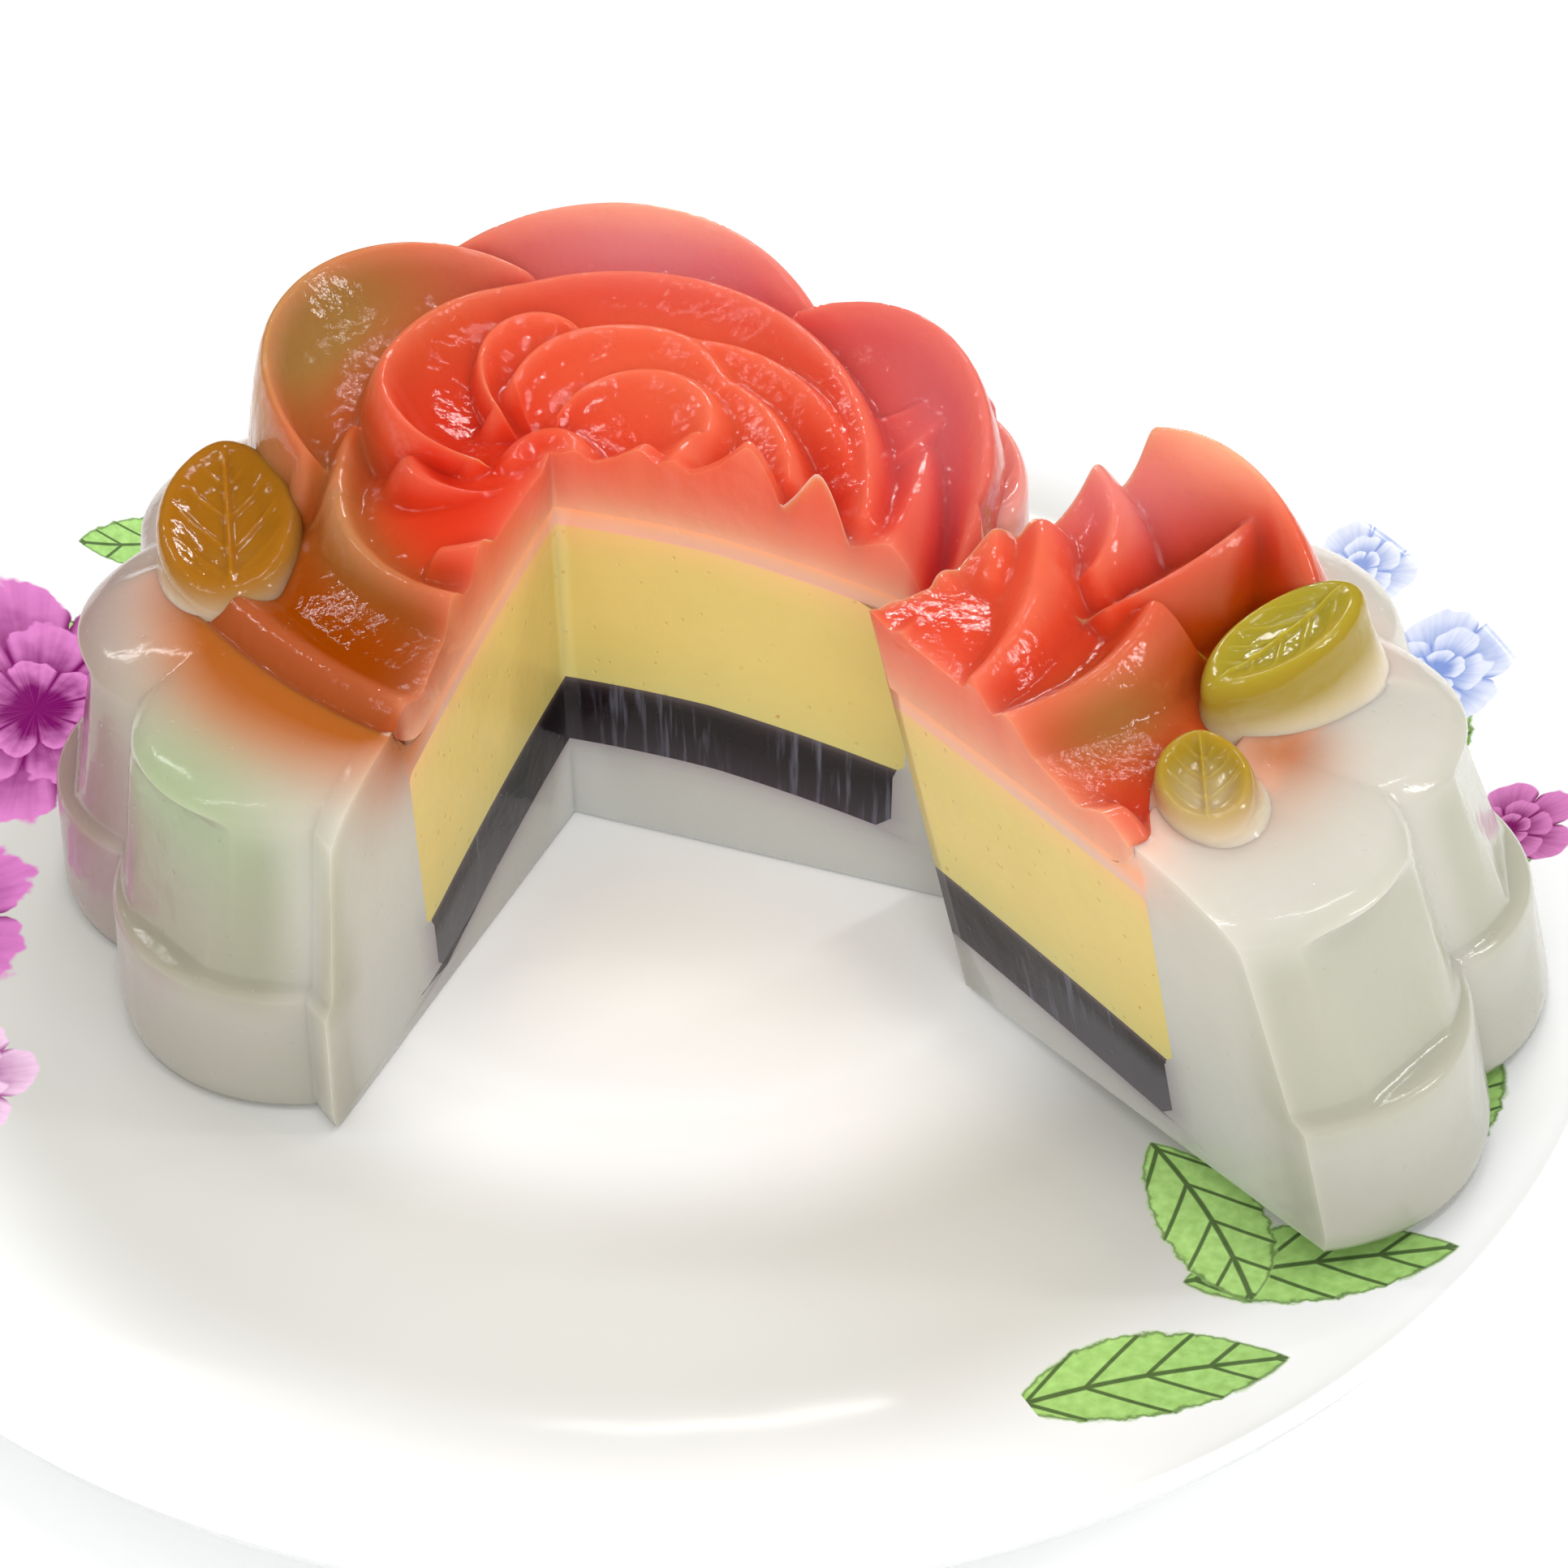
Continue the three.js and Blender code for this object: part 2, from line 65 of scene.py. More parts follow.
Array = np.ndarray
Field = Callable[[Array], Array]
Colour = tuple[float, float, float]
Socket = bpy.types.NodeSocket


class Slot(Enum):
    """The record's material slots."""

    PORCELAIN = "porcelain"
    COCONUT = "coconut_jelly"
    COFFEE = "coffee_jelly"
    CUSTARD = "custard_jelly"
    ROSE = "rose_jelly"
    LEAF = "leaf_jelly"
    PINK_LEAF = "pink_leaf_jelly"


# ---- numbers over arrays --------------------------------------------------------------------


def smoothstep(low: float, high: float, value: Array) -> Array:
    """Runs smoothly from 0 at low to 1 at high.

    Args:
        low: Where the step starts.
        high: Where it ends; may lie below low.
        value: The numbers to weigh.

    Returns:
        Weights of value's shape.
    """
    t = np.clip((value - low) / (high - low), 0.0, 1.0)
    return t * t * (3 - 2 * t)


def wrapped(angle: Array) -> Array:
    """Brings angles into the half turns on both sides of zero."""
    return angle - 2 * math.pi * np.round(angle / (2 * math.pi))


def blend_max(a: Array, b: Array, width: float) -> Array:
    """Takes the larger of two heights, with the crease between them rounded over.

    Args:
        a: First heights.
        b: Second heights.
        width: How far apart they may be and still be blended.

    Returns:
        The blended heights.
    """
    overlap = np.maximum(width - np.abs(a - b), 0) / width
    return np.maximum(a, b) + overlap * overlap * width * 0.25


def through_three(stations: Sequence[float], t: Array) -> Array:
    """A parabola through values at 0, 0.5 and 1.

    Args:
        stations: The three values.
        t: Where to read it.

    Returns:
        Values of t's shape.
    """
    first, middle, last = stations
    return first + (4 * middle - 3 * first - last) * t + (2 * first - 4 * middle + 2 * last) * t * t


def lobe_offset(angle: Array) -> Array:
    """Angle from the middle of the nearest lobe."""
    turned = (angle - FIRST_VALLEY) / LOBE_ANGLE
    return (turned - np.floor(turned) - 0.5) * LOBE_ANGLE


def filled(curve: Array, count: int) -> Array:
    """Adds points on the long runs of polylines, the same ones in each row.

    Args:
        curve: Points, rows by points by 2.
        count: Points wanted in each row.

    Returns:
        Points, rows by count by 2.
    """
    lengths = np.median(np.linalg.norm(np.diff(curve, axis=1), axis=2), axis=0)
    parts = np.ones(len(lengths), int)
    for _ in range(count - curve.shape[1]):
        parts[np.argmax(lengths / parts)] += 1
    pieces = []
    for index, number in enumerate(parts):
        start = curve[:, index:index + 1]
        run = curve[:, index + 1:index + 2] - start
        pieces.append(start + run * (np.arange(number) / number)[None, :, None])
    return np.concatenate([*pieces, curve[:, -1:]], axis=1)


def rounded(corners: Array, cuts: Sequence[float], fills: Sequence[int], steps: int = 6) -> Array:
    """A polyline with its corners rounded.

    Args:
        corners: Corner points, rows by corners by 2.
        cuts: How far from each inner corner its rounding starts.
        fills: Points added on each straight run.
        steps: Points in each rounding.

    Returns:
        Points, rows by points by 2.
    """
    rows, count = corners.shape[:2]
    pieces = [corners[:, :1]]
    leave = corners[:, :1]
    for index in range(1, count):
        here = corners[:, index:index + 1]
        run = here - corners[:, index - 1:index]
        length = np.linalg.norm(run, axis=2, keepdims=True)
        last = index == count - 1
        cut = 0.0 if last else cuts[index - 1]
        arrive = here - run * np.minimum(cut / np.maximum(length, 1e-6), 0.48)
        shares = (np.arange(fills[index - 1]) + 1) / (fills[index - 1] + 1)
        pieces.append(leave + (arrive - leave) * shares[None, :, None])
        if last:
            pieces.append(here)
            break
        onward = corners[:, index + 1:index + 2] - here
        far = np.linalg.norm(onward, axis=2, keepdims=True)
        leave = here + onward * np.minimum(cut / np.maximum(far, 1e-6), 0.48)
        t = np.linspace(0, 1, steps)[None, :, None]
        pieces.append(arrive * (1 - t) ** 2 + here * 2 * t * (1 - t) + leave * t ** 2)
    return np.concatenate(pieces, axis=1)


# ---- forms of the mould ---------------------------------------------------------------------


@dataclass(frozen=True)
class Outline:
    """Outline of round lobes by their crests and valleys, cut flat where flat is given."""

    crest: float
    valley: float
    flat: float = math.inf

    def radius(self, angle: Array) -> Array:
        """Radius of the outline.

        Args:
            angle: Angles round the jelly's axis.

        Returns:
            Radii of angle's shape.
        """
        along_x = self.valley * math.cos(LOBE_ANGLE / 2)
        along_y = self.valley * math.sin(LOBE_ANGLE / 2)
        centre = (self.crest ** 2 - along_x ** 2 - along_y ** 2) / (2 * (self.crest - along_x))
        arc = self.crest - centre
        offset = lobe_offset(angle)
        lobed = centre * np.cos(offset) + np.sqrt(arc ** 2 - (centre * np.sin(offset)) ** 2)
        return np.minimum(lobed, self.flat / np.cos(offset))


@dataclass(frozen=True)
class Petal:
    """One petal: its ends in degrees, and radius and height at its first end, middle and last end.

    Wall is how steeply it falls outwards, hollow how deep its inner side sinks over hollow_width,
    and wave how far its edge sways.
    """

    start: float
    end: float
    radius: tuple[float, float, float]
    height: tuple[float, float, float]
    wall: float
    hollow: float
    wave: float = 0.0
    hollow_width: float = 2.6
    inner_slope: float = 0.22
    flare: float = 0.22
    end_slope: float = 1.1
    end_flare: float = 0.35

    def top(self, radius: Array, angle: Array, rim: float) -> Array:
        """Height of the petal's surface.

        Args:
            radius: Distances from the jelly's axis.
            angle: Angles round it.
            rim: Rounding of the petal's edge.

        Returns:
            Heights over the jelly's base.
        """
        span = math.radians(self.end - self.start)
        along = wrapped(angle - math.radians(self.start) - span / 2) / span + 0.5
        t = np.clip(along, 0, 1)
        crest = through_three(self.radius, t) + self.wave * np.sin(t * 9.0 + self.end)
        height = through_three(self.height, t) + 0.5 * self.wave * np.cos(t * 13.0 + self.start)
        past = np.abs(along - t) * span * crest
        off = radius - crest
        distance = np.sqrt(off * off + rim ** 2) - rim
        ends = self.end_slope * past + self.end_flare * past * past
        outside = distance * self.wall + distance * distance * self.wall * self.flare
        inside = self.hollow * (1 - np.exp(-distance / self.hollow_width))
        inside = inside + self.inner_slope * distance
        return height - np.where(off > 0, outside, inside) - ends


@dataclass(frozen=True)
class RoseForm:
    """The rose: its petals over a low dome."""

    petals: tuple[Petal, ...]
    bed: float = 43.0
    fall: float = 0.012
    rim: float = 0.75
    crease: float = 0.8
    limit: Outline = Outline(44.4, 41.0)

    def top(self, radius: Array, angle: Array) -> Array:
        """Height of the rose's upper surface.

        Args:
            radius: Distances from the jelly's axis.
            angle: Angles round it.

        Returns:
            Heights over the jelly's base.
        """
        height = self.bed - self.fall * radius * radius
        for petal in self.petals:
            height = blend_max(height, petal.top(radius, angle, self.rim), self.crease)
        return height

    def reach(self, angle: Array) -> Array:
        """How far out the rose goes before it meets the coconut shoulder.

        Args:
            angle: Angles round the jelly's axis.

        Returns:
            Radii of the rose's edge.
        """
        turns = np.linspace(-math.pi, math.pi, 721)
        radii = np.arange(20, 46.01, 0.1)
        high = self.top(radii[None, :], turns[:, None]) >= CROWN_HEIGHT - 1
        outermost = high.shape[1] - 1 - np.argmax(high[:, ::-1], axis=1)
        last = radii[np.where(high.any(1), outermost, 0)]
        window = np.hanning(17) / np.hanning(17).sum()
        soft = np.convolve(np.concatenate([last[-9:-1], last, last[1:9]]), window, "valid")
        return np.minimum(np.interp(wrapped(angle), turns, soft), self.limit.radius(angle))


@dataclass(frozen=True)
class LeafForm:
    """A leaf on the shoulder: its middle, half length and width, turn in degrees and heights.

    The skirt is how far its sides spread towards its foot, and green how much of it is green.
    """

    at: tuple[float, float]
    half: tuple[float, float]
    turn: float
    tip: float
    heel: float
    skirt: float
    green: float = 0.0
    dish: float = 0.9
    edge_drop: float = 1.8
    lip_start: float = 0.8
    point: float = 0.22
    midrib: float = 0.5
    vein: float = 0.2

    def lattice(self, sides: int = 160, shares: int = 44, lip_steps: int = 14) -> Array:
        """Points of the leaf.

        Args:
            sides: Points round it.
            shares: Points from its middle outwards.
            lip_steps: How many of those lie on its rounded edge.

        Returns:
            Points, round by outwards by upwards by 3.
        """
        around = np.linspace(0, 2 * math.pi, sides, endpoint=False)[:, None]
        lip_width = 1 - self.lip_start
        lip = self.lip_start + lip_width * np.sin(np.linspace(0.08, 1, lip_steps) * math.pi / 2)
        share = np.concatenate([np.linspace(0, self.lip_start, shares - lip_steps), lip])[None, :]
        pointed = 1 - self.point * np.clip(np.cos(around), 0, 1) ** 3
        u = share * np.cos(around)
        v = share * np.sin(around) * pointed
        slope = self.heel + (self.tip - self.heel) * (u + 1) / 2
        on_lip = ((share - self.lip_start) / lip_width).clip(0, 1)
        edge = 1 - np.sqrt(np.clip(1 - on_lip ** 2, 0, 1))
        dish = self.dish * (1 - smoothstep(0.4, 0.84, share))
        midrib = self.midrib * np.exp(-(v / 0.05) ** 2) * smoothstep(0.9, 0.55, np.abs(u))
        ribs = np.cos((u - 0.75 * np.abs(v)) * 17.0)
        side_veins = self.vein * np.maximum(ribs, 0) ** 3 * smoothstep(0.78, 0.5, share)
        roof = slope - dish + midrib + side_veins - self.edge_drop * edge
        turn = math.radians(self.turn)
        floor = np.full_like(roof, LEAF_FOOT)
        layers = []
        for level in (0.0, 0.25, 0.5, 0.75, 1.0):
            spread = self.skirt * (1 - level) ** 1.3
            along, across = u * (self.half[0] + spread), v * (self.half[1] + spread)
            x = self.at[0] + along * math.cos(turn) - across * math.sin(turn)
            y = self.at[1] + along * math.sin(turn) + across * math.cos(turn)
            layers.append(np.stack([x, y, floor + (roof - floor) * level], axis=2))
        return np.stack(layers, axis=2)


@dataclass(frozen=True)
class Bed:
    """How the layers lie: the custard's underside as a tilted, slightly domed surface."""

    centre: tuple[float, float]
    height: float
    slope: tuple[float, float]
    sag: float
    rise_limit: float = 1.0
    custard_radius: float = 33.6
    custard_rounding: float = 0.8
    custard_depth: float = 18.4
    coffee_radius: float = 32.4
    coffee_rounding: float = 1.6
    coffee_depth: float = 8.0
    coffee_floor: float = 1.8
    film: float = 2.0
    film_edge: float = 0.6

    def off_centre(self, x: Array, y: Array) -> Array:
        """Distance from the layers' own axis."""
        return np.hypot(x - self.centre[0], y - self.centre[1])

    def under_custard(self, x: Array, y: Array) -> Array:
        """Height of the custard's underside."""
        rise = np.minimum(self.slope[0] * x + self.slope[1] * y, self.rise_limit)
        return self.height + rise - self.sag * (x * x + y * y)

    def over_custard(self, x: Array, y: Array) -> Array:
        """Height of the custard's upper side."""
        return self.under_custard(x, y) + self.custard_depth

    def under_coffee(self, x: Array, y: Array) -> Array:
        """Height of the coffee layer's underside."""
        return np.maximum(self.under_custard(x, y) - self.coffee_depth, self.coffee_floor)

    def rose_floor(self, x: Array, y: Array) -> Array:
        """Height of the rose's underside: on the film over the custard, and lower round it.

        Args:
            x: Places on the base.
            y: Places on the base.

        Returns:
            Heights over the jelly's base.
        """
        past = self.off_centre(x, y) - self.custard_radius
        drop = 1.4 * np.maximum(past - self.film_edge, 0) ** 2
        return np.maximum(LEAF_FOOT, self.over_custard(x, y) + self.film - drop)


@dataclass(frozen=True)
class BodyForm:
    """The fluted body under the rose: a rounded band, flat panels and a sloping shoulder."""

    foot: Outline = Outline(52.6, 48.0)
    band: Outline = Outline(52.9, 48.3)
    ledge: Outline = Outline(51.7, 47.2)
    panel_foot: Outline = Outline(50.2, 46.0, 49.3)
    panel_head: Outline = Outline(47.2, 42.8, 45.3)
    shoulder: Outline = Outline(46.9, 42.5)
    crown: Outline = Outline(45.2, 41.2)
    crown_foot: float = 30.5
    crown_top_radius: float = 36.0

    def side(
        self, reach_of: Callable[[Field], Array], rose_edge: Array, edge_height: Array, heel: Array
    ) -> Array:
        """Side of the body from its base edge to the rose's foot, in each direction.

        Args:
            reach_of: Gives how far each direction goes to an outline.
            rose_edge: How far the rose reaches in each direction.
            edge_height: The shoulder's height there.
            heel: Height of the rose's underside there.

        Returns:
            Points, directions by points by 2.
        """
        stations = [
            (self.foot, 0.0), (self.band, 1.6), (self.ledge, 12.9), (self.panel_foot, 13.6),
            (self.panel_head, 28.3), (self.shoulder, 29.3), (self.crown, self.crown_foot),
        ]
        corners = [
            np.stack([reach_of(outline.radius), np.full_like(rose_edge, height)], axis=1)
            for outline, height in stations
        ]
        middle = 0.5 * (corners[-1][:, 0] + rose_edge)
        bulge = 0.62 * edge_height + 0.38 * corners[-1][:, 1]
        corners.append(np.stack([middle, bulge], axis=1))
        corners.append(np.stack([rose_edge, edge_height], axis=1))
        corners.append(np.stack([rose_edge - 0.05, heel], axis=1))
        return rounded(
            np.stack(corners, axis=1),
            cuts=(0.9, 0.7, 0.75, 0.7, 0.5, 0.9, 1.5, 0.02),
            fills=(1, 8, 1, 14, 1, 1, 3, 3, 1),
            steps=5,
        )

    def crown_height(self, radius: Array, angle: Array) -> Array:
        """Height of the shoulder's slope.

        Args:
            radius: Distances from the jelly's axis.
            angle: Angles round it.

        Returns:
            Heights over the jelly's base.
        """
        outer = self.crown.radius(angle)
        t = np.clip((outer - radius) / (outer - self.crown_top_radius), 0, 1.2)
        return self.crown_foot + (CROWN_HEIGHT - self.crown_foot) * t ** 0.7


# ---- sectors --------------------------------------------------------------------------------


@dataclass
class Sector:
    """A wedge of the jelly seen from its tip, in the jelly's own frame."""

    tip: tuple[float, float]
    start: float
    end: float
    step: float
    position: tuple[float, float, float] = (-11.2, 4.3, 4.0)
    angles: Array = field(init=False)

    def __post_init__(self) -> None:
        """Spreads the directions, with one through every valley."""
        even = np.linspace(self.start, self.end, int((self.end - self.start) / self.step) + 1)
        valleys = FIRST_VALLEY + LOBE_ANGLE * np.arange(-LOBES, 2 * LOBES)
        x, y = VALLEY_RADIUS * np.cos(valleys), VALLEY_RADIUS * np.sin(valleys)
        towards = np.arctan2(y - self.tip[1], x - self.tip[0])
        towards = towards + 2 * math.pi * np.round((valleys - towards) / (2 * math.pi))
        towards = towards[(towards > self.start + 0.01) & (towards < self.end - 0.01)]
        kept = even[np.min(np.abs(even[:, None] - towards[None, :]), axis=1) > self.step * 0.3]
        self.angles = np.sort(np.concatenate([kept, towards]))

    def plan(self, rho: Array) -> tuple[Array, Array]:
        """Places on the base at these distances from the tip, a row for each direction."""
        turn = self.angles[:, None]
        return self.tip[0] + rho * np.cos(turn), self.tip[1] + rho * np.sin(turn)

    def polar(self, rho: Array) -> tuple[Array, Array]:
        """Radius and angle round the jelly's axis of such places."""
        x, y = self.plan(rho)
        return np.hypot(x, y), np.arctan2(y, x)

    def reach_of(self, outline: Field) -> Array:
        """How far each direction goes until it leaves an outline.

        Args:
            outline: Gives the outline's radius at an angle.

        Returns:
            A distance from the tip for each direction.
        """
        low = np.zeros_like(self.angles)
        high = np.full_like(self.angles, 75.0)
        for _ in range(40):
            middle = (low + high) / 2
            radius, angle = self.polar(middle[:, None])
            inside = radius[:, 0] < outline(angle[:, 0])
            low = np.where(inside, middle, low)
            high = np.where(inside, high, middle)
        return low

    def place(self, points: Array) -> Array:
        """Moves points from the jelly's frame to where they lie on the plate."""
        return points + np.array(self.position)


@dataclass
class PulledSector(Sector):
    """The slice: leaning, turned, a little tilted and pulled out."""

    position: tuple[float, float, float] = (29.0, -23.0, 4.3)
    yaw: float = math.radians(52)
    tilt: tuple[float, float] = (math.radians(-4), math.radians(-4))
    lean: float = 0.134
    tip_lean: float = 0.037
    tip_length: float = 45.0

    def place(self, points: Array) -> Array:
        """Leans, turns and moves points of the slice.

        Args:
            points: Points in the jelly's frame.

        Returns:
            The points where they lie on the plate.
        """
        x = points[..., 0] - self.tip[0]
        y = points[..., 1] - self.tip[1]
        z = points[..., 2]
        near_tip = np.clip(1 - np.hypot(x, y) / self.tip_length, 0, 1)
        shift = (self.lean + self.tip_lean * near_tip) * z
        cos, sin = math.cos(self.yaw), math.sin(self.yaw)
        x = x - shift * cos
        y = y + shift * sin
        turned = np.stack([x * cos - y * sin, x * sin + y * cos, z], axis=-1)
        amount = math.hypot(*self.tilt)
        axis = np.array([self.tilt[0], self.tilt[1], 0]) / amount
        along = (turned @ axis)[..., None] * axis
        tilted = along + (turned - along) * math.cos(amount)
        tilted = tilted + np.cross(axis, turned) * math.sin(amount)
        return tilted + np.array(self.position)


# ---- meshes ---------------------------------------------------------------------------------


def linked(name: str, data: bpy.types.ID) -> bpy.types.Object:
    """Adds an object to the scene.

    Args:
        name: Its name.
        data: Its mesh, curve, light or camera.

    Returns:
        The object.
    """
    thing = bpy.data.objects.new(name, data)
    bpy.context.scene.collection.objects.link(thing)
    return thing


@dataclass
class Lattice:
    """A closed mesh round a lattice of points: round the tip, outwards, and upwards."""

    points: Array
    wraps: bool = False

    def patches(self) -> list[tuple[Array, bool]]:
        """Splits its skin into sides.

        Returns:
            Faces of each side as point numbers, and whether the side is a cut.
        """
        count = self.points.shape[:3]
        ids = np.arange(count[0] * count[1] * count[2]).reshape(count)
        if self.wraps:
            ids = np.concatenate([ids, ids[:1]])

        def faces(grid: Array, flip: bool) -> Array:
            """Four-sided faces over a grid of point numbers."""
            corners = [grid[:-1, :-1], grid[:-1, 1:], grid[1:, 1:], grid[1:, :-1]]
            return np.stack(corners[::-1] if flip else corners, axis=-1).reshape(-1, 4)

        sides = [
            (faces(ids[:, :, -1], False), False),
            (faces(ids[:, :, 0], True), False),
            (faces(ids[:, -1, :], True), False),
            (faces(ids[:, 0, :], False), False),
        ]
        if not self.wraps:
            sides += [(faces(ids[-1], False), True), (faces(ids[0], True), True)]
        return sides

    def build(self, name: str, sector: Sector, masks: dict[str, Array]) -> bpy.types.Object:
        """Makes the mesh object.

        Args:
            name: The piece's name.
            sector: Says where the points lie.
            masks: Numbers over the lattice, kept as attributes.

        Returns:
            The new object, with the jelly's own coordinates in the attribute cake.
        """
        flat = self.points.reshape(-1, 3)
        _, first, weld = np.unique(
            np.round(flat, 4), axis=0, return_index=True, return_inverse=True)
        sides = self.patches()
        faces = weld.reshape(-1)[np.concatenate([side for side, _ in sides])]
        is_cut = np.concatenate([np.full(len(side), cut) for side, cut in sides])
        ordered = np.sort(faces, axis=1)
        kinds = 1 + np.sum(np.diff(ordered, axis=1) != 0, axis=1)
        keep = kinds >= 3
        faces, is_cut, kinds = faces[keep], is_cut[keep], kinds[keep]
        used, compact = np.unique(faces, return_inverse=True)
        faces = compact.reshape(faces.shape)
        source = first[used]
        rows = faces.tolist()
        for index in np.nonzero(kinds == 3)[0]:
            rows[index] = list(dict.fromkeys(rows[index]))
        place = sector.place(flat[source])
        mesh = bpy.data.meshes.new(name)
        mesh.from_pydata((place * MM).tolist(), [], rows)
        self.sharpen(mesh, faces, is_cut)
        cake = mesh.attributes.new("cake", "FLOAT_VECTOR", "POINT")
        cake.data.foreach_set("vector", flat[source].astype(np.float32).ravel())
        for mask, values in masks.items():
            layer = mesh.attributes.new(mask, "FLOAT", "POINT")
            layer.data.foreach_set("value", values.reshape(-1)[source].astype(np.float32))
        a, b, c, d = (place[faces[:, corner]] for corner in range(4))
        if np.sum(np.cross(a, b) * c) + np.sum(np.cross(a, c) * d) < 0:
            mesh.flip_normals()
        mesh.update()
        return linked(name, mesh)

    @staticmethod
    def sharpen(mesh: bpy.types.Mesh, faces: Array, is_cut: Array) -> None:
        """Shades the mesh smooth, with sharp edges round its cuts.

        Args:
            mesh: The mesh.
            faces: Its faces as point numbers.
            is_cut: Which of them lie in a cut.
        """
        mesh.shade_smooth()
        if not is_cut.any():
            return
        in_cut = np.zeros(len(mesh.vertices), bool)
        in_cut[faces[is_cut].ravel()] = True
        elsewhere = np.zeros(len(mesh.vertices), bool)
        elsewhere[faces[~is_cut].ravel()] = True
        rim = in_cut & elsewhere
        ends = np.zeros(len(mesh.edges) * 2, np.int32)
        mesh.edges.foreach_get("vertices", ends)
        ends = ends.reshape(-1, 2)
        sharp = mesh.attributes.new("sharp_edge", "BOOLEAN", "EDGE")
        sharp.data.foreach_set("value", rim[ends[:, 0]] & rim[ends[:, 1]])


@dataclass(frozen=True)
class Tint:
    """A soft cloud of colour in the jelly, by radius, angle and height, with its spreads."""

    mask: str
    radius: float
    turn: float
    height: float
    spread: tuple[float, float, float]
    strength: float = 1.0

    def weight(self, points: Array) -> Array:
        """The cloud's strength.

        Args:
            points: Points of the jelly.

        Returns:
            Weights of the points.
        """
        x, y, z = np.moveaxis(points, -1, 0)
        off = wrapped(np.arctan2(y, x) - math.radians(self.turn))
        far = ((np.hypot(x, y) - self.radius) / self.spread[0]) ** 2
        far = far + (off / math.radians(self.spread[1])) ** 2
        far = far + ((z - self.height) / self.spread[2]) ** 2
        return self.strength * np.exp(-far)


def clouds(tints: Sequence[Tint], masks: Sequence[str], points: Array) -> dict[str, Array]:
    """Adds up the tints of each mask.

    Args:
        tints: The clouds.
        masks: Names of all masks the finish reads.
        points: Points of the jelly.

    Returns:
        Each mask's numbers, from 0 to 1.
    """
    sums = {mask: np.zeros(points.shape[:-1]) for mask in masks}
    for tint in tints:
        sums[tint.mask] = sums[tint.mask] + tint.weight(points)
    return {mask: np.clip(total, 0, 1) for mask, total in sums.items()}


# ---- node trees -----------------------------------------------------------------------------


class Graph:
    """Adds nodes to one node tree."""

    def __init__(self, tree: bpy.types.NodeTree) -> None:
        """Keeps the tree."""
        self.tree = tree

    def add(self, kind: str, inputs: dict | None = None, **settings: object) -> bpy.types.Node:
        """Adds a node.

        Args:
            kind: The node's type.
            inputs: Values or sockets, by input name or number.
            **settings: The node's own properties.

        Returns:
            The node.
        """
        node = self.tree.nodes.new(kind)
        for key, value in settings.items():
            setattr(node, key, value)
        for key, value in (inputs or {}).items():
            self.feed(node.inputs[key], value)
        return node

    def feed(self, socket: Socket, value: object) -> None:
        """Links a socket to another, or gives it a value.

        Args:
            socket: The input.
            value: A socket or a value.
        """
        if isinstance(value, Socket):
            self.tree.links.new(value, socket)
        else:
            socket.default_value = value

    def math(self, operation: str, *terms: object, clamp: bool = False) -> Socket:
        """A Math node's result."""
        settings = {"operation": operation, "use_clamp": clamp}
        return self.add("ShaderNodeMath", dict(enumerate(terms)), **settings).outputs[0]

    def vector(self, operation: str, inputs: dict) -> bpy.types.Node:
        """A Vector Math node."""
        return self.add("ShaderNodeVectorMath", inputs, operation=operation)

    def noise(self, place: Socket, scale: object, detail: float) -> Socket:
        """A Noise Texture's strength."""
        inputs = {"Vector": place, "Scale": scale, "Detail": detail}
        return self.add("ShaderNodeTexNoise", inputs).outputs[0]

    def joined(self, *parts: object) -> Socket:
        """A vector of up to three numbers."""
        return self.add("ShaderNodeCombineXYZ", dict(enumerate(parts))).outputs[0]

    def split(self, vector: Socket) -> bpy.types.NodeOutputs:
        """The three numbers of a vector."""
        return self.add("ShaderNodeSeparateXYZ", {0: vector}).outputs

    def ramp(self, value: object, low: object, high: object) -> Socket:
        """A smooth step of a value between two limits."""
        inputs = {0: value, 1: low, 2: high, 3: 0.0, 4: 1.0}
        return self.add("ShaderNodeMapRange", inputs, interpolation_type="SMOOTHSTEP").outputs[0]

    def mix(self, share: object, a: object, b: object) -> Socket:
        """A mix of two colours."""
        return self.add("ShaderNodeMix", {0: share, 6: a, 7: b}, data_type="RGBA").outputs[2]

    def group(self, tree: bpy.types.NodeTree, inputs: dict) -> bpy.types.NodeOutputs:
        """Places a node group and gives its outputs."""
        return self.add("ShaderNodeGroup", inputs, node_tree=tree).outputs

    def attribute(self, name: str, output: str = "Fac") -> Socket:
        """The numbers of a mesh attribute, or with output Vector its vectors."""
        return self.add("ShaderNodeAttribute", attribute_name=name).outputs[output]


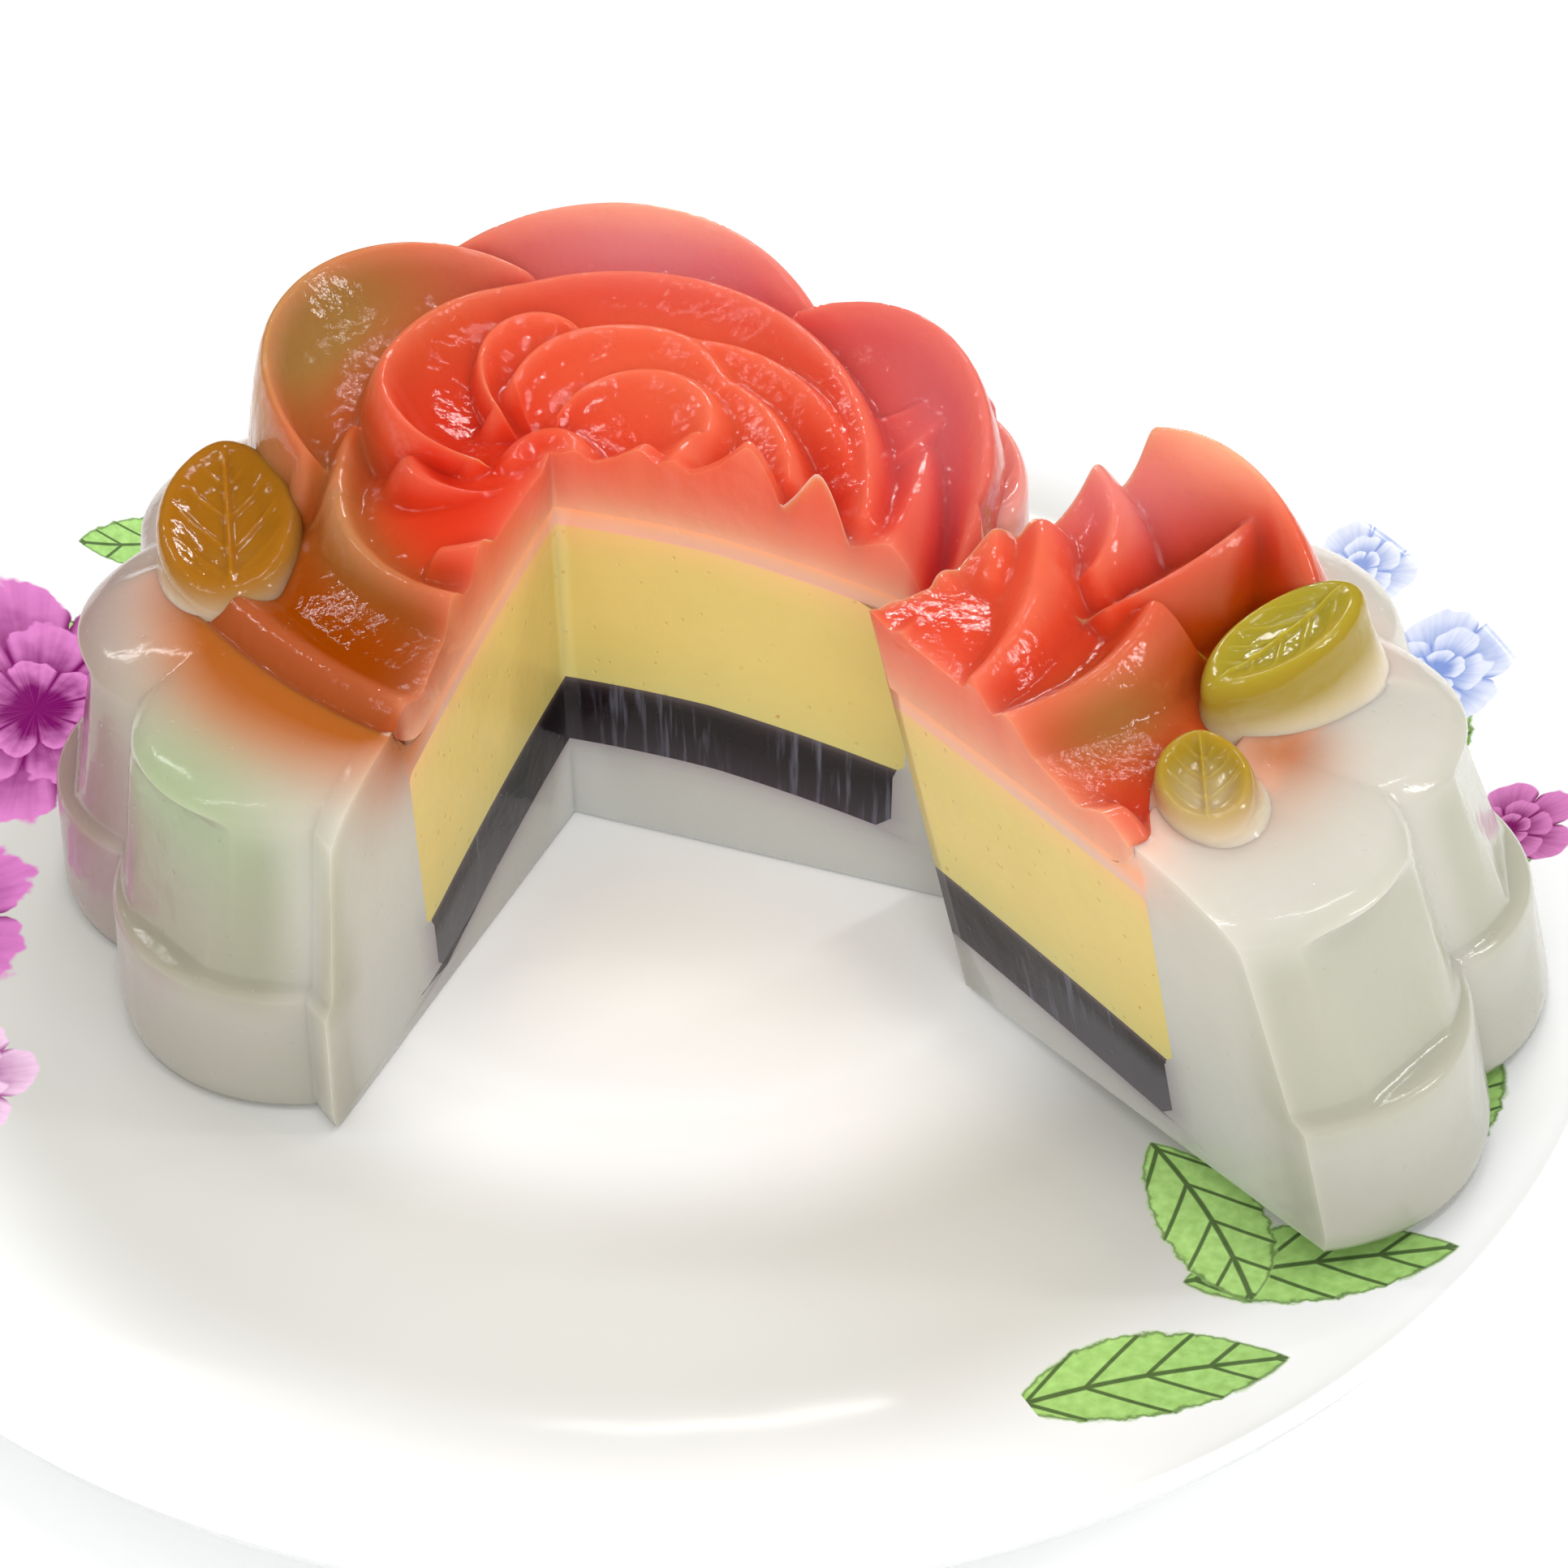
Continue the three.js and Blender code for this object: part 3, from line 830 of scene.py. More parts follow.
@dataclass
class NodeGroup:
    """A shader node group in the making, with its inputs by name."""

    name: str
    inputs: dict[str, float | None]
    outputs: Sequence[str]
    tree: bpy.types.NodeTree = field(init=False)
    graph: Graph = field(init=False)
    given: bpy.types.NodeOutputs = field(init=False)

    def __post_init__(self) -> None:
        """Makes the tree; an input without a default is a vector."""
        self.tree = bpy.data.node_groups.new(self.name, "ShaderNodeTree")
        for title, default in self.inputs.items():
            kind = "NodeSocketVector" if default is None else "NodeSocketFloat"
            socket = self.tree.interface.new_socket(title, in_out="INPUT", socket_type=kind)
            if default is not None:
                socket.default_value = default
        for title in self.outputs:
            self.tree.interface.new_socket(title, in_out="OUTPUT", socket_type="NodeSocketFloat")
        self.graph = Graph(self.tree)
        self.given = self.tree.nodes.new("NodeGroupInput").outputs

    def finish(self, *values: Socket) -> bpy.types.NodeTree:
        """Links the outputs.

        Args:
            *values: One socket for each output.

        Returns:
            The finished tree.
        """
        end = self.tree.nodes.new("NodeGroupOutput")
        for socket, value in zip(end.inputs, values):
            self.graph.feed(socket, value)
        return self.tree


class Effects:
    """Shader node groups that several finishes share."""

    def __init__(self) -> None:
        """Builds every group once."""
        self.relief = self.build_relief()
        self.mottle = self.build_mottle()
        self.specks = self.build_specks()
        self.flower = self.build_flower()
        self.leaf = self.build_leaf()

    @staticmethod
    def build_relief() -> bpy.types.NodeTree:
        """Soft ripples and tiny pits of a set jelly's skin.

        Returns:
            The group, which puts out a height.
        """
        group = NodeGroup("jelly_skin", {"Vector": None, "Ripple": 0.35, "Pits": 0.2}, ["Height"])
        graph, given = group.graph, group.given
        broad = graph.noise(given["Vector"], 0.22, 2.0)
        fine = graph.noise(given["Vector"], 1.1, 3.0)
        cells = graph.add("ShaderNodeTexVoronoi", {"Vector": given["Vector"], "Scale": 0.55})
        pit = graph.ramp(cells.outputs["Distance"], 0.02, 0.16)
        ripple = graph.math("MULTIPLY", broad, given["Ripple"])
        small = graph.math("MULTIPLY", fine, graph.math("MULTIPLY", given["Ripple"], 0.2))
        dip = graph.math("MULTIPLY", graph.math("SUBTRACT", pit, 1.0), given["Pits"])
        return group.finish(graph.math("ADD", graph.math("ADD", ripple, small), dip))

    @staticmethod
    def build_mottle() -> bpy.types.NodeTree:
        """Slow cloudiness inside a jelly.

        Returns:
            The group, which puts out a mask.
        """
        group = NodeGroup("jelly_cloud", {"Vector": None, "Scale": 0.1, "Contrast": 1.0}, ["Mask"])
        graph, given = group.graph, group.given
        noise = graph.noise(given["Vector"], given["Scale"], 3.0)
        centred = graph.math("SUBTRACT", noise, 0.5)
        return group.finish(
            graph.math("MULTIPLY_ADD", centred, given["Contrast"], 0.5, clamp=True))

    @staticmethod
    def build_specks() -> bpy.types.NodeTree:
        """Scattered small dots, of which only some show.

        Returns:
            The group, which puts out a mask.
        """
        inputs = {"Vector": None, "Scale": 0.5, "Size": 0.1, "Share": 0.3}
        group = NodeGroup("specks", inputs, ["Mask"])
        graph, given = group.graph, group.given
        cells = graph.add(
            "ShaderNodeTexVoronoi", {"Vector": given["Vector"], "Scale": given["Scale"]})
        tone = graph.add("ShaderNodeSeparateColor", {0: cells.outputs["Color"]}).outputs
        size = graph.math("MULTIPLY", given["Size"], graph.math("ADD", tone[1], 0.4))
        dot = graph.ramp(cells.outputs["Distance"], size, graph.math("MULTIPLY", size, 0.5))
        shown = graph.math("LESS_THAN", tone[0], given["Share"])
        return group.finish(graph.math("MULTIPLY", dot, shown))

    @staticmethod
    def local_place(
        graph: Graph, place: Socket, centre: Socket, turn: Socket
    ) -> tuple[Socket, Socket]:
        """Coordinates round a motif's centre, turned with it.

        Args:
            graph: The group's graph.
            place: Where on the plate.
            centre: The motif's centre.
            turn: Its turn in radians.

        Returns:
            The two coordinates in millimetres.
        """
        off = graph.vector("SUBTRACT", {0: place, 1: centre}).outputs[0]
        back = graph.math("MULTIPLY", turn, -1.0)
        turned = graph.add(
            "ShaderNodeVectorRotate", {"Vector": off, "Angle": back}, rotation_type="Z_AXIS")
        x, y, _ = graph.split(turned.outputs[0])
        return x, y

    @classmethod
    def build_flower(cls) -> bpy.types.NodeTree:
        """A many-petalled painted blossom.

        Returns:
            The group, which puts out a mask and the blossom's shading.
        """
        inputs = {"Vector": None, "Centre": None, "Turn": 0.0, "Radius": 10.0, "Petals": 6.0}
        group = NodeGroup("painted_blossom", inputs, ["Mask", "Shade"])
        graph, given = group.graph, group.given
        x, y = cls.local_place(graph, given["Vector"], given["Centre"], given["Turn"])
        angle = graph.math("ARCTAN2", y, x)
        spot = graph.joined(x, y)
        wobble = graph.math("SUBTRACT", graph.noise(spot, 0.3, 2.0), 0.5)
        length = graph.vector("LENGTH", {0: spot}).outputs["Value"]
        share = graph.math("DIVIDE", length, given["Radius"])
        share = graph.math("MULTIPLY_ADD", wobble, 0.3, share)

        def whorl(turn: float, size: float) -> tuple[Socket, Socket]:
            """One ring of petals.

            Args:
                turn: Its turn in radians of a petal's wave.
                size: Its share of the blossom's radius.

            Returns:
                Its mask and its shade.
            """
            half = graph.math("MULTIPLY", given["Petals"], 0.5)
            lobe = graph.math("COSINE", graph.math("MULTIPLY_ADD", angle, half, turn))
            lobe = graph.math("ABSOLUTE", lobe)
            edge = graph.math("POWER", lobe, 0.45)
            edge = graph.math("MULTIPLY_ADD", edge, 0.32 * size, 0.68 * size)
            mask = graph.ramp(share, edge, graph.math("MULTIPLY", edge, 0.95))
            shade = graph.ramp(share, graph.math("MULTIPLY", edge, 0.35), edge)
            crease = graph.ramp(lobe, 0.0, 0.35)
            return mask, graph.math("MULTIPLY", shade, crease)

        outer_mask, outer_shade = whorl(0.0, 1.0)
        middle_mask, middle_shade = whorl(1.1, 0.68)
        inner_mask, inner_shade = whorl(0.4, 0.38)
        shade = graph.mix(middle_mask, outer_shade, middle_shade)
        shade = graph.mix(inner_mask, shade, inner_shade)
        streaks = graph.joined(graph.math("MULTIPLY", angle, 9.0), share)
        brush = graph.math("SUBTRACT", graph.noise(streaks, 1.4, 2.0), 0.5)
        shade = graph.math("MULTIPLY_ADD", brush, 0.55, shade, clamp=True)
        return group.finish(outer_mask, shade)

    @classmethod
    def build_leaf(cls) -> bpy.types.NodeTree:
        """A row of painted leaves with drawn veins, each with its own lean.

        Returns:
            The group, which puts out a mask, the leaves' shading and their lines.
        """
        inputs = {
            "Vector": None, "Centre": None, "Turn": 0.0, "Length": 9.0, "Width": 4.0,
            "Start": 0.0, "End": 1.0, "Pitch": 0.3,
        }
        group = NodeGroup("painted_leaf", inputs, ["Mask", "Shade", "Lines"])
        graph, given = group.graph, group.given
        parts = graph.split(given["Vector"])
        angle = graph.math("ARCTAN2", parts[1], parts[0])
        past = graph.math("SUBTRACT", angle, given["Start"])
        number = graph.math("ROUND", graph.math("DIVIDE", past, given["Pitch"]))
        own = graph.math("MULTIPLY_ADD", number, given["Pitch"], given["Start"])
        begun = graph.math("GREATER_THAN", number, -0.5)
        shown = graph.math("MULTIPLY", begun, graph.math("LESS_THAN", own, given["End"]))
        back = graph.math("MULTIPLY", own, -1.0)
        home = graph.add(
            "ShaderNodeVectorRotate", {"Vector": given["Vector"], "Angle": back},
            rotation_type="Z_AXIS")
        chance = graph.add("ShaderNodeTexWhiteNoise", {"W": number}, noise_dimensions="1D")
        chance = graph.math("SUBTRACT", chance.outputs["Value"], 0.5)
        lean = graph.math("MULTIPLY_ADD", chance, 0.9, given["Turn"])
        x, y = cls.local_place(graph, home.outputs[0], given["Centre"], lean)
        u = graph.math("DIVIDE", x, given["Length"])
        squared = graph.math("MULTIPLY", u, u)
        bow = graph.math("MULTIPLY", squared, 0.25)
        v = graph.math("ADD", graph.math("DIVIDE", y, given["Width"]), bow)
        wobble = graph.noise(graph.joined(x, y), 0.8, 2.0)
        edge = graph.math("SUBTRACT", 1.0, squared, clamp=True)
        ragged = graph.math("MULTIPLY_ADD", wobble, 0.3, 0.85)
        edge = graph.math("MULTIPLY", graph.math("POWER", edge, 0.8), ragged)
        wide = graph.math("ABSOLUTE", v)
        mask = graph.ramp(wide, edge, graph.math("SUBTRACT", edge, 0.1))
        rim = graph.ramp(graph.math("SUBTRACT", edge, wide), 0.16, 0.06)
        rim = graph.math("MULTIPLY", mask, rim)
        midrib = graph.ramp(wide, 0.07, 0.03)
        wave = graph.math("SUBTRACT", u, graph.math("MULTIPLY", wide, 0.55))
        veins = graph.math("COSINE", graph.math("MULTIPLY", wave, 14.0))
        veins = graph.ramp(veins, 0.88, 0.98)
        lines = graph.math("MAXIMUM", graph.math("MAXIMUM", rim, midrib), veins)
        lines = graph.math("MULTIPLY", mask, lines)
        return group.finish(graph.math("MULTIPLY", mask, shown), wobble, lines)


def rgba(colour: Colour) -> tuple[float, float, float, float]:
    """A colour given in display values from 0 to 255, as linear light."""
    linear = [c / 255 / 12.92 if c <= 10 else ((c / 255 + 0.055) / 1.055) ** 2.4 for c in colour]
    return (*linear, 1.0)


# ---- finishes -------------------------------------------------------------------------------


def new_material(name: str) -> tuple[bpy.types.Material, Graph, bpy.types.NodeInputs]:
    """Starts a material.

    Args:
        name: Its name.

    Returns:
        The material, its graph and the inputs of its Principled shader.
    """
    material = bpy.data.materials.new(name)
    material.use_nodes = True
    shader = material.node_tree.nodes["Principled BSDF"]
    return material, Graph(material.node_tree), shader.inputs


@dataclass(frozen=True)
class JellyFinish:
    """A wet, clouded jelly whose colour follows soft tints in its mesh.

    An even jelly scatters little light all through, the others only near their seams.
    """

    name: str
    base: Colour
    deep: Colour
    tints: tuple[tuple[str, Colour], ...] = ()
    scatter: tuple[float, float, float] = (6.0, 3.0, 2.0)
    scatter_scale: float = 0.0005
    clarity: float = 0.0
    roughness: float = 0.12
    ripple: float = 0.35
    pits: float = 0.1
    cloud_scale: float = 0.09
    cloud: float = 1.2
    specks: Colour | None = None
    streaks: Colour | None = None
    even: bool = False
    bump: float = 0.5
    bump_depth: float = 0.0008

    def build(self, effects: Effects) -> bpy.types.Material:
        """Makes the material.

        Args:
            effects: The shared node groups.

        Returns:
            The material.
        """
        material, graph, shader = new_material(self.name)
        place = graph.attribute("cake", "Vector")
        cloud = graph.group(
            effects.mottle, {"Vector": place, "Scale": self.cloud_scale, "Contrast": self.cloud})[0]
        colour = graph.mix(cloud, rgba(self.deep), rgba(self.base))
        for mask, tint in self.tints:
            colour = graph.mix(graph.attribute(mask), colour, rgba(tint))
        if self.streaks is not None:
            colour = graph.mix(self.strokes(graph, place), colour, rgba(self.streaks))
        if self.specks is not None:
            dots = graph.group(
                effects.specks, {"Vector": place, "Scale": 0.42, "Size": 0.1, "Share": 0.25})[0]
            colour = graph.mix(graph.math("MULTIPLY", dots, 0.7), colour, rgba(self.specks))
        skin = graph.group(
            effects.relief, {"Vector": place, "Ripple": self.ripple, "Pits": self.pits})[0]
        bump = graph.add(
            "ShaderNodeBump", {"Height": skin, "Strength": self.bump, "Distance": self.bump_depth})
        rough = graph.math("MULTIPLY_ADD", cloud, 0.05, self.roughness - 0.025)
        graph.feed(shader["Base Color"], colour)
        graph.feed(shader["Roughness"], rough)
        graph.feed(shader["Normal"], bump.outputs[0])
        shader["IOR"].default_value = JELLY_IOR
        shader["Transmission Weight"].default_value = self.clarity
        shader["Subsurface Radius"].default_value = self.scatter
        shader["Subsurface Scale"].default_value = self.scatter_scale
        shader["Subsurface Weight"].default_value = FIRM_SCATTER
        if not self.even:
            weight = graph.math(
                "MULTIPLY_ADD", graph.attribute("firm"), FIRM_SCATTER - SOFT_SCATTER, SOFT_SCATTER)
            graph.feed(shader["Subsurface Weight"], weight)
        return material

    @staticmethod
    def strokes(graph: Graph, place: Socket) -> Socket:
        """Upright pale strokes, as a knife leaves them, in a few patches.

        Args:
            graph: The material's graph.
            place: Where in the jelly.

        Returns:
            A mask.
        """
        squeeze = graph.add("ShaderNodeMapping", {"Vector": place, "Scale": (1.3, 1.3, 0.1)})
        stroke = graph.ramp(graph.noise(squeeze.outputs[0], 1.0, 4.0), 0.5, 0.72)
        patch = graph.ramp(graph.noise(place, 0.07, 1.0), 0.42, 0.62)
        return graph.math("MULTIPLY", graph.math("MULTIPLY", stroke, patch), 0.55)


@dataclass(frozen=True)
class Blossom:
    """A painted blossom on the plate: centre, turn in degrees, radius and colours."""

    centre: tuple[float, float]
    turn: float
    radius: float
    petals: int
    deep: Colour
    pale: Colour

    def paint(
        self, graph: Graph, effects: Effects, place: Socket, upper: Socket, under: Socket
    ) -> Socket:
        """Paints the blossom over a colour.

        Args:
            graph: The glaze's graph.
            effects: The shared node groups.
            place: Where on the plate, in millimetres.
            upper: Mask of the plate's upper side.
            under: The colour under it.

        Returns:
            The new colour.
        """
        mask, shade = graph.group(effects.flower, {
            "Vector": place, "Centre": (*self.centre, 0), "Turn": math.radians(self.turn),
            "Radius": self.radius, "Petals": float(self.petals),
        })
        tone = graph.mix(shade, rgba(self.deep), rgba(self.pale))
        return graph.mix(graph.math("MULTIPLY", mask, upper), under, tone)


@dataclass(frozen=True)
class SprigRow:
    """Painted leaves along the rim: radius, angles and pitch, lean, half length and width."""

    radius: float
    start: float
    end: float
    pitch: float
    lean: float
    length: float
    width: float
    tone: Colour
    ink: Colour = (46, 58, 40)
    lighter: int = 62

    def paint(
        self, graph: Graph, effects: Effects, place: Socket, upper: Socket, under: Socket
    ) -> Socket:
        """Paints the leaves over a colour.

        Args:
            graph: The glaze's graph.
            effects: The shared node groups.
            place: Where on the plate, in millimetres.
            upper: Mask of the plate's upper side.
            under: The colour under them.

        Returns:
            The new colour.
        """
        mask, shade, lines = graph.group(effects.leaf, {
            "Vector": place, "Centre": (self.radius, 0, 0), "Turn": math.radians(self.lean),
            "Start": math.radians(self.start), "End": math.radians(self.end),
            "Pitch": math.radians(self.pitch), "Length": self.length, "Width": self.width,
        })
        pale = tuple(min(255, c + self.lighter) for c in self.tone)
        tone = graph.mix(shade, rgba(self.tone), rgba(pale))
        tone = graph.mix(graph.math("MULTIPLY", lines, 0.8), tone, rgba(self.ink))
        return graph.mix(graph.math("MULTIPLY", mask, upper), under, tone)


@dataclass(frozen=True)
class PorcelainFinish:
    """White glazed porcelain with a painted border of blossoms and leaves, and painted shade in a
    ring where the well rises.
    """

    name: str = "glazed_porcelain"
    white: Colour = (252, 253, 253)
    shade: Colour = (249, 250, 251)
    # painted shade for the ring where the well rises
    well: Colour = (208, 207, 201)
    blossoms: tuple[Blossom, ...] = ()
    sprigs: tuple[SprigRow, ...] = ()

    def build(self, effects: Effects) -> bpy.types.Material:
        """Makes the material.

        Args:
            effects: The shared node groups.

        Returns:
            The material.
        """
        material, graph, shader = new_material(self.name)
        where = graph.add("ShaderNodeTexCoord").outputs["Object"]
        place = graph.vector("SCALE", {0: where, "Scale": 1 / MM}).outputs[0]
        cloud = graph.noise(place, 0.03, 2.0)
        colour = graph.mix(cloud, rgba(self.shade), rgba(self.white))
        # Painted shade: a darker ring where the plate's well rises, from about 42 to 88 mm out.
        away = graph.vector("LENGTH", {0: place}).outputs["Value"]
        ring = graph.math("MULTIPLY", graph.ramp(away, 42.0, 58.0), graph.ramp(away, 88.0, 70.0))
        colour = graph.mix(ring, colour, rgba(self.well))
        normal = graph.add("ShaderNodeNewGeometry").outputs["Normal"]
        upper = graph.math("GREATER_THAN", graph.split(normal)[2], 0.2)
        for sprig in self.sprigs:
            colour = sprig.paint(graph, effects, place, upper, colour)
        for blossom in self.blossoms:
            colour = blossom.paint(graph, effects, place, upper, colour)
        wave = graph.noise(place, 0.08, 1.0)
        bump = graph.add("ShaderNodeBump", {"Height": wave, "Strength": 0.12, "Distance": 0.001})
        graph.feed(shader["Base Color"], colour)
        graph.feed(shader["Roughness"], graph.math("MULTIPLY_ADD", cloud, 0.08, 0.1))
        graph.feed(shader["Normal"], bump.outputs[0])
        shader["IOR"].default_value = GLAZE_IOR
        shader["Specular IOR Level"].default_value = 0.15
        return material


# ---- the jelly ------------------------------------------------------------------------------


@dataclass
class Finishes:
    """Every finish of the part, built once."""

    coconut: bpy.types.Material
    coffee: bpy.types.Material
    custard: bpy.types.Material
    rose: bpy.types.Material
    leaf: bpy.types.Material
    pink_leaf: bpy.types.Material
    porcelain: bpy.types.Material


# The panel mask holds painted shade on the flat panels.
SHELL_MASKS = (
    "blush", "orange", "rust", "green", "low", "inner", "murk", "pink", "film", "panel_shade",
)
# Of the rose masks, hollow holds painted shade, pale and the coral tint hold painted light, and the
# rosy tint is pink tone made paler as painted light.
ROSE_MASKS = ("olive", "rosy_backlit", "orange", "pale", "hollow", "coral_glow")
HOLLOW_REACH = 2.2  # how far to both sides the rose's hollows and ridges are judged


def dress(piece: bpy.types.Object, finish: bpy.types.Material, slot: Slot, *nodes: str) -> None:
    """Gives a piece its finish and ties it to the frame.

    Args:
        piece: The piece.
        finish: Its material.
        slot: The record's slot; not used.
        *nodes: The nodes it replaces.
    """
    piece.data.materials.clear()
    piece.data.materials.append(finish)
    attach(piece, "root")
    if nodes:
        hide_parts(*nodes)
    LOG.info("%s: %d faces", piece.name, len(piece.data.polygons))


@dataclass
class JellyPart:
    """One part of the cut jelly: its shell, layers, rose and leaves.

    The panel weight scales the painted shade on the flat panels, and fade is how far the rose is
    painted pale over the film, as light from the pale layer beneath.
    """

    prefix: str
    sector: Sector
    bed: Bed
    rose: RoseForm
    leaves: dict[str, LeafForm]
    shell_tints: tuple[Tint, ...]
    rose_tints: tuple[Tint, ...]
    panel_shade: float = 1.0
    fade: float = 4.0
    rose_steps: int = 104
    body: BodyForm = BodyForm()

    def build(self, finishes: Finishes) -> None:
        """Builds and dresses every piece of the part.

        Args:
            finishes: The materials.
        """
        rose_edge = self.sector.reach_of(self.rose.reach)
        self.build_shell(finishes, rose_edge)
        self.build_coffee(finishes)
        self.build_custard(finishes)
        self.build_rose(finishes, rose_edge)
        for name, form in self.leaves.items():
            self.build_leaf(finishes, name, form)

    def disc(self, radius: float, rounding: float, count: int) -> tuple[Array, Array]:
        """Distances from the tip over a round layer, and how far its surface has turned down.

        Args:
            radius: The layer's radius about the bed's centre.
            rounding: Rounding of its edge.
            count: Distances in each direction.

        Returns:
            Distances, and how far the surface has turned down there, in radians.
        """
        centre_x, centre_y = self.bed.centre

        def outline(angle: Array) -> Array:
            """Radius of the layer's edge.

            Args:
                angle: Angles round the jelly's axis.

            Returns:
                Radii of angle's shape.
            """
            along = centre_x * np.cos(angle) + centre_y * np.sin(angle)
            across = centre_x * np.sin(angle) - centre_y * np.cos(angle)
            return along + np.sqrt(radius ** 2 - across ** 2)

        edge = self.sector.reach_of(outline)[:, None]
        turn = np.linspace(0, math.pi / 2, EDGE_STEPS)[None, :]
        inner = (edge - rounding) * np.linspace(0, 1, count - EDGE_STEPS + 1)[None, :-1]
        inner = np.concatenate([inner, edge - rounding + rounding * np.sin(turn)], axis=1)
        turned = np.concatenate([np.zeros((1, count - EDGE_STEPS)), turn], axis=1)
        return inner, np.repeat(turned, len(edge), axis=0)

    def slab(self, rho: Array, floor: Array, roof: Array, levels: int) -> Lattice:
        """A layer between two surfaces.

        Args:
            rho: Distances from the tip, directions by steps.
            floor: Heights of its underside.
            roof: Heights of its upper side.
            levels: Points up through it.

        Returns:
            The lattice.
        """
        x, y = self.sector.plan(rho)
        share = np.linspace(0, 1, levels)[None, None, :]
        height = floor[:, :, None] + (roof - floor)[:, :, None] * share
        spread = np.ones_like(share)
        return Lattice(np.stack([x[:, :, None] * spread, y[:, :, None] * spread, height], axis=3))

    def build_coffee(self, finishes: Finishes) -> None:
        """Builds the dark coffee layer, with its upper edge drawn out by 0.4 mm.

        Args:
            finishes: The materials.
        """
        rounding = self.bed.coffee_rounding
        rho, turned = self.disc(self.bed.coffee_radius, rounding, 26)
        x, y = self.sector.plan(rho)
        floor = self.bed.under_coffee(x, y) + rounding * np.sin(turned)
        lattice = self.slab(rho, floor, self.bed.under_custard(x, y) - SEAM, LAYER_LEVELS)
        high = np.linspace(0, 1, LAYER_LEVELS)[None, None, :]
        flare = 0.4 * np.sin(turned)[:, :, None] * smoothstep(0.8, 1.0, high)
        lattice.points[..., 0] += flare * np.cos(self.sector.angles)[:, None, None]
        lattice.points[..., 1] += flare * np.sin(self.sector.angles)[:, None, None]
        depth = np.broadcast_to(1 - high, lattice.points.shape[:3])
        x, y, z = np.moveaxis(lattice.points, -1, 0)
        far = smoothstep(8.0, 26.0, -y)
        masks = {
            "fade": np.clip((depth - 0.35) / 0.65, 0, 1) ** 1.5 * (0.4 + 0.6 * far),
            "left": 0.75 * far * smoothstep(0.1, 0.5, depth),
            "top": np.exp(-(self.bed.under_custard(x, y) - z) / 0.5),
        }
        piece = lattice.build(f"{self.prefix}_coffee", self.sector, masks)
        dress(piece, finishes.coffee, Slot.COFFEE, f"{self.prefix}_coffee_layer")

    def build_custard(self, finishes: Finishes) -> None:
        """Builds the yellow custard layer.

        Args:
            finishes: The materials.
        """
        rounding = self.bed.custard_rounding
        rho, turned = self.disc(self.bed.custard_radius, rounding, 30)
        x, y = self.sector.plan(rho)
        floor = self.bed.under_custard(x, y) + rounding * np.sin(turned)
        roof = self.bed.over_custard(x, y) - rounding * (1 - np.cos(turned))
        lattice = self.slab(rho, floor, roof, LAYER_LEVELS)
        depth = np.linspace(1, 0, LAYER_LEVELS)[None, None, :]
        depth = np.broadcast_to(depth, lattice.points.shape[:3])
        near = np.minimum(depth, 1 - depth) * self.bed.custard_depth
        near = np.minimum(near, (rho[:, -1:] - rho)[:, :, None])
        masks = {
            "green": np.clip((depth - 0.55) / 0.45, 0, 1) ** 1.6,
            "top": np.clip((0.25 - depth) / 0.25, 0, 1) ** 2,
            "firm": np.exp(-near / FIRM_DEPTH),
        }
        piece = lattice.build(f"{self.prefix}_custard_layer", self.sector, masks)
        dress(piece, finishes.custard, Slot.CUSTARD, f"{self.prefix}_custard")

    def cavity(self, base_steps: int, top_steps: int) -> tuple[Array, Array, Array, Array]:
        """The room for the layers inside the shell, as a section in each direction.

        Args:
            base_steps: Distances under the coffee layer.
            top_steps: Distances over the custard, less one.

        Returns:
            Its floor with the rounded edge, its side up to the coffee's lip, its side along the
            custard, and its roof from the edge to the tip.
        """
        bed = self.bed
        rho, turned = self.disc(bed.coffee_radius + SEAM, bed.coffee_rounding, base_steps + 7)
        under = bed.under_coffee(*self.sector.plan(rho)) + bed.coffee_rounding * np.sin(turned)
        floor = np.stack([rho, under - SEAM], axis=2)
        outermost = rho[:, -1:]
        rounding = bed.custard_rounding
        rho, turned = self.disc(bed.custard_radius + SEAM, rounding, top_steps + 6)
        place = self.sector.plan(rho)
        low = bed.under_custard(*place) + rounding * np.sin(turned) - SEAM
        high = bed.over_custard(*place) - rounding * (1 - np.cos(turned)) + SEAM
        low = np.stack([rho, low], axis=2)
        high = np.stack([rho, high], axis=2)[:, ::-1]
        lip = np.stack([outermost, low[:, -EDGE_STEPS:1 - EDGE_STEPS, 1] - rounding], axis=2)
        coffee_side = np.concatenate([floor[:, base_steps - 1:], lip], axis=1)
        custard_side = np.concatenate([low[:, -EDGE_STEPS:], high[:, :EDGE_STEPS]], axis=1)
        return floor[:, :base_steps - 1], coffee_side, custard_side, high[:, EDGE_STEPS:]

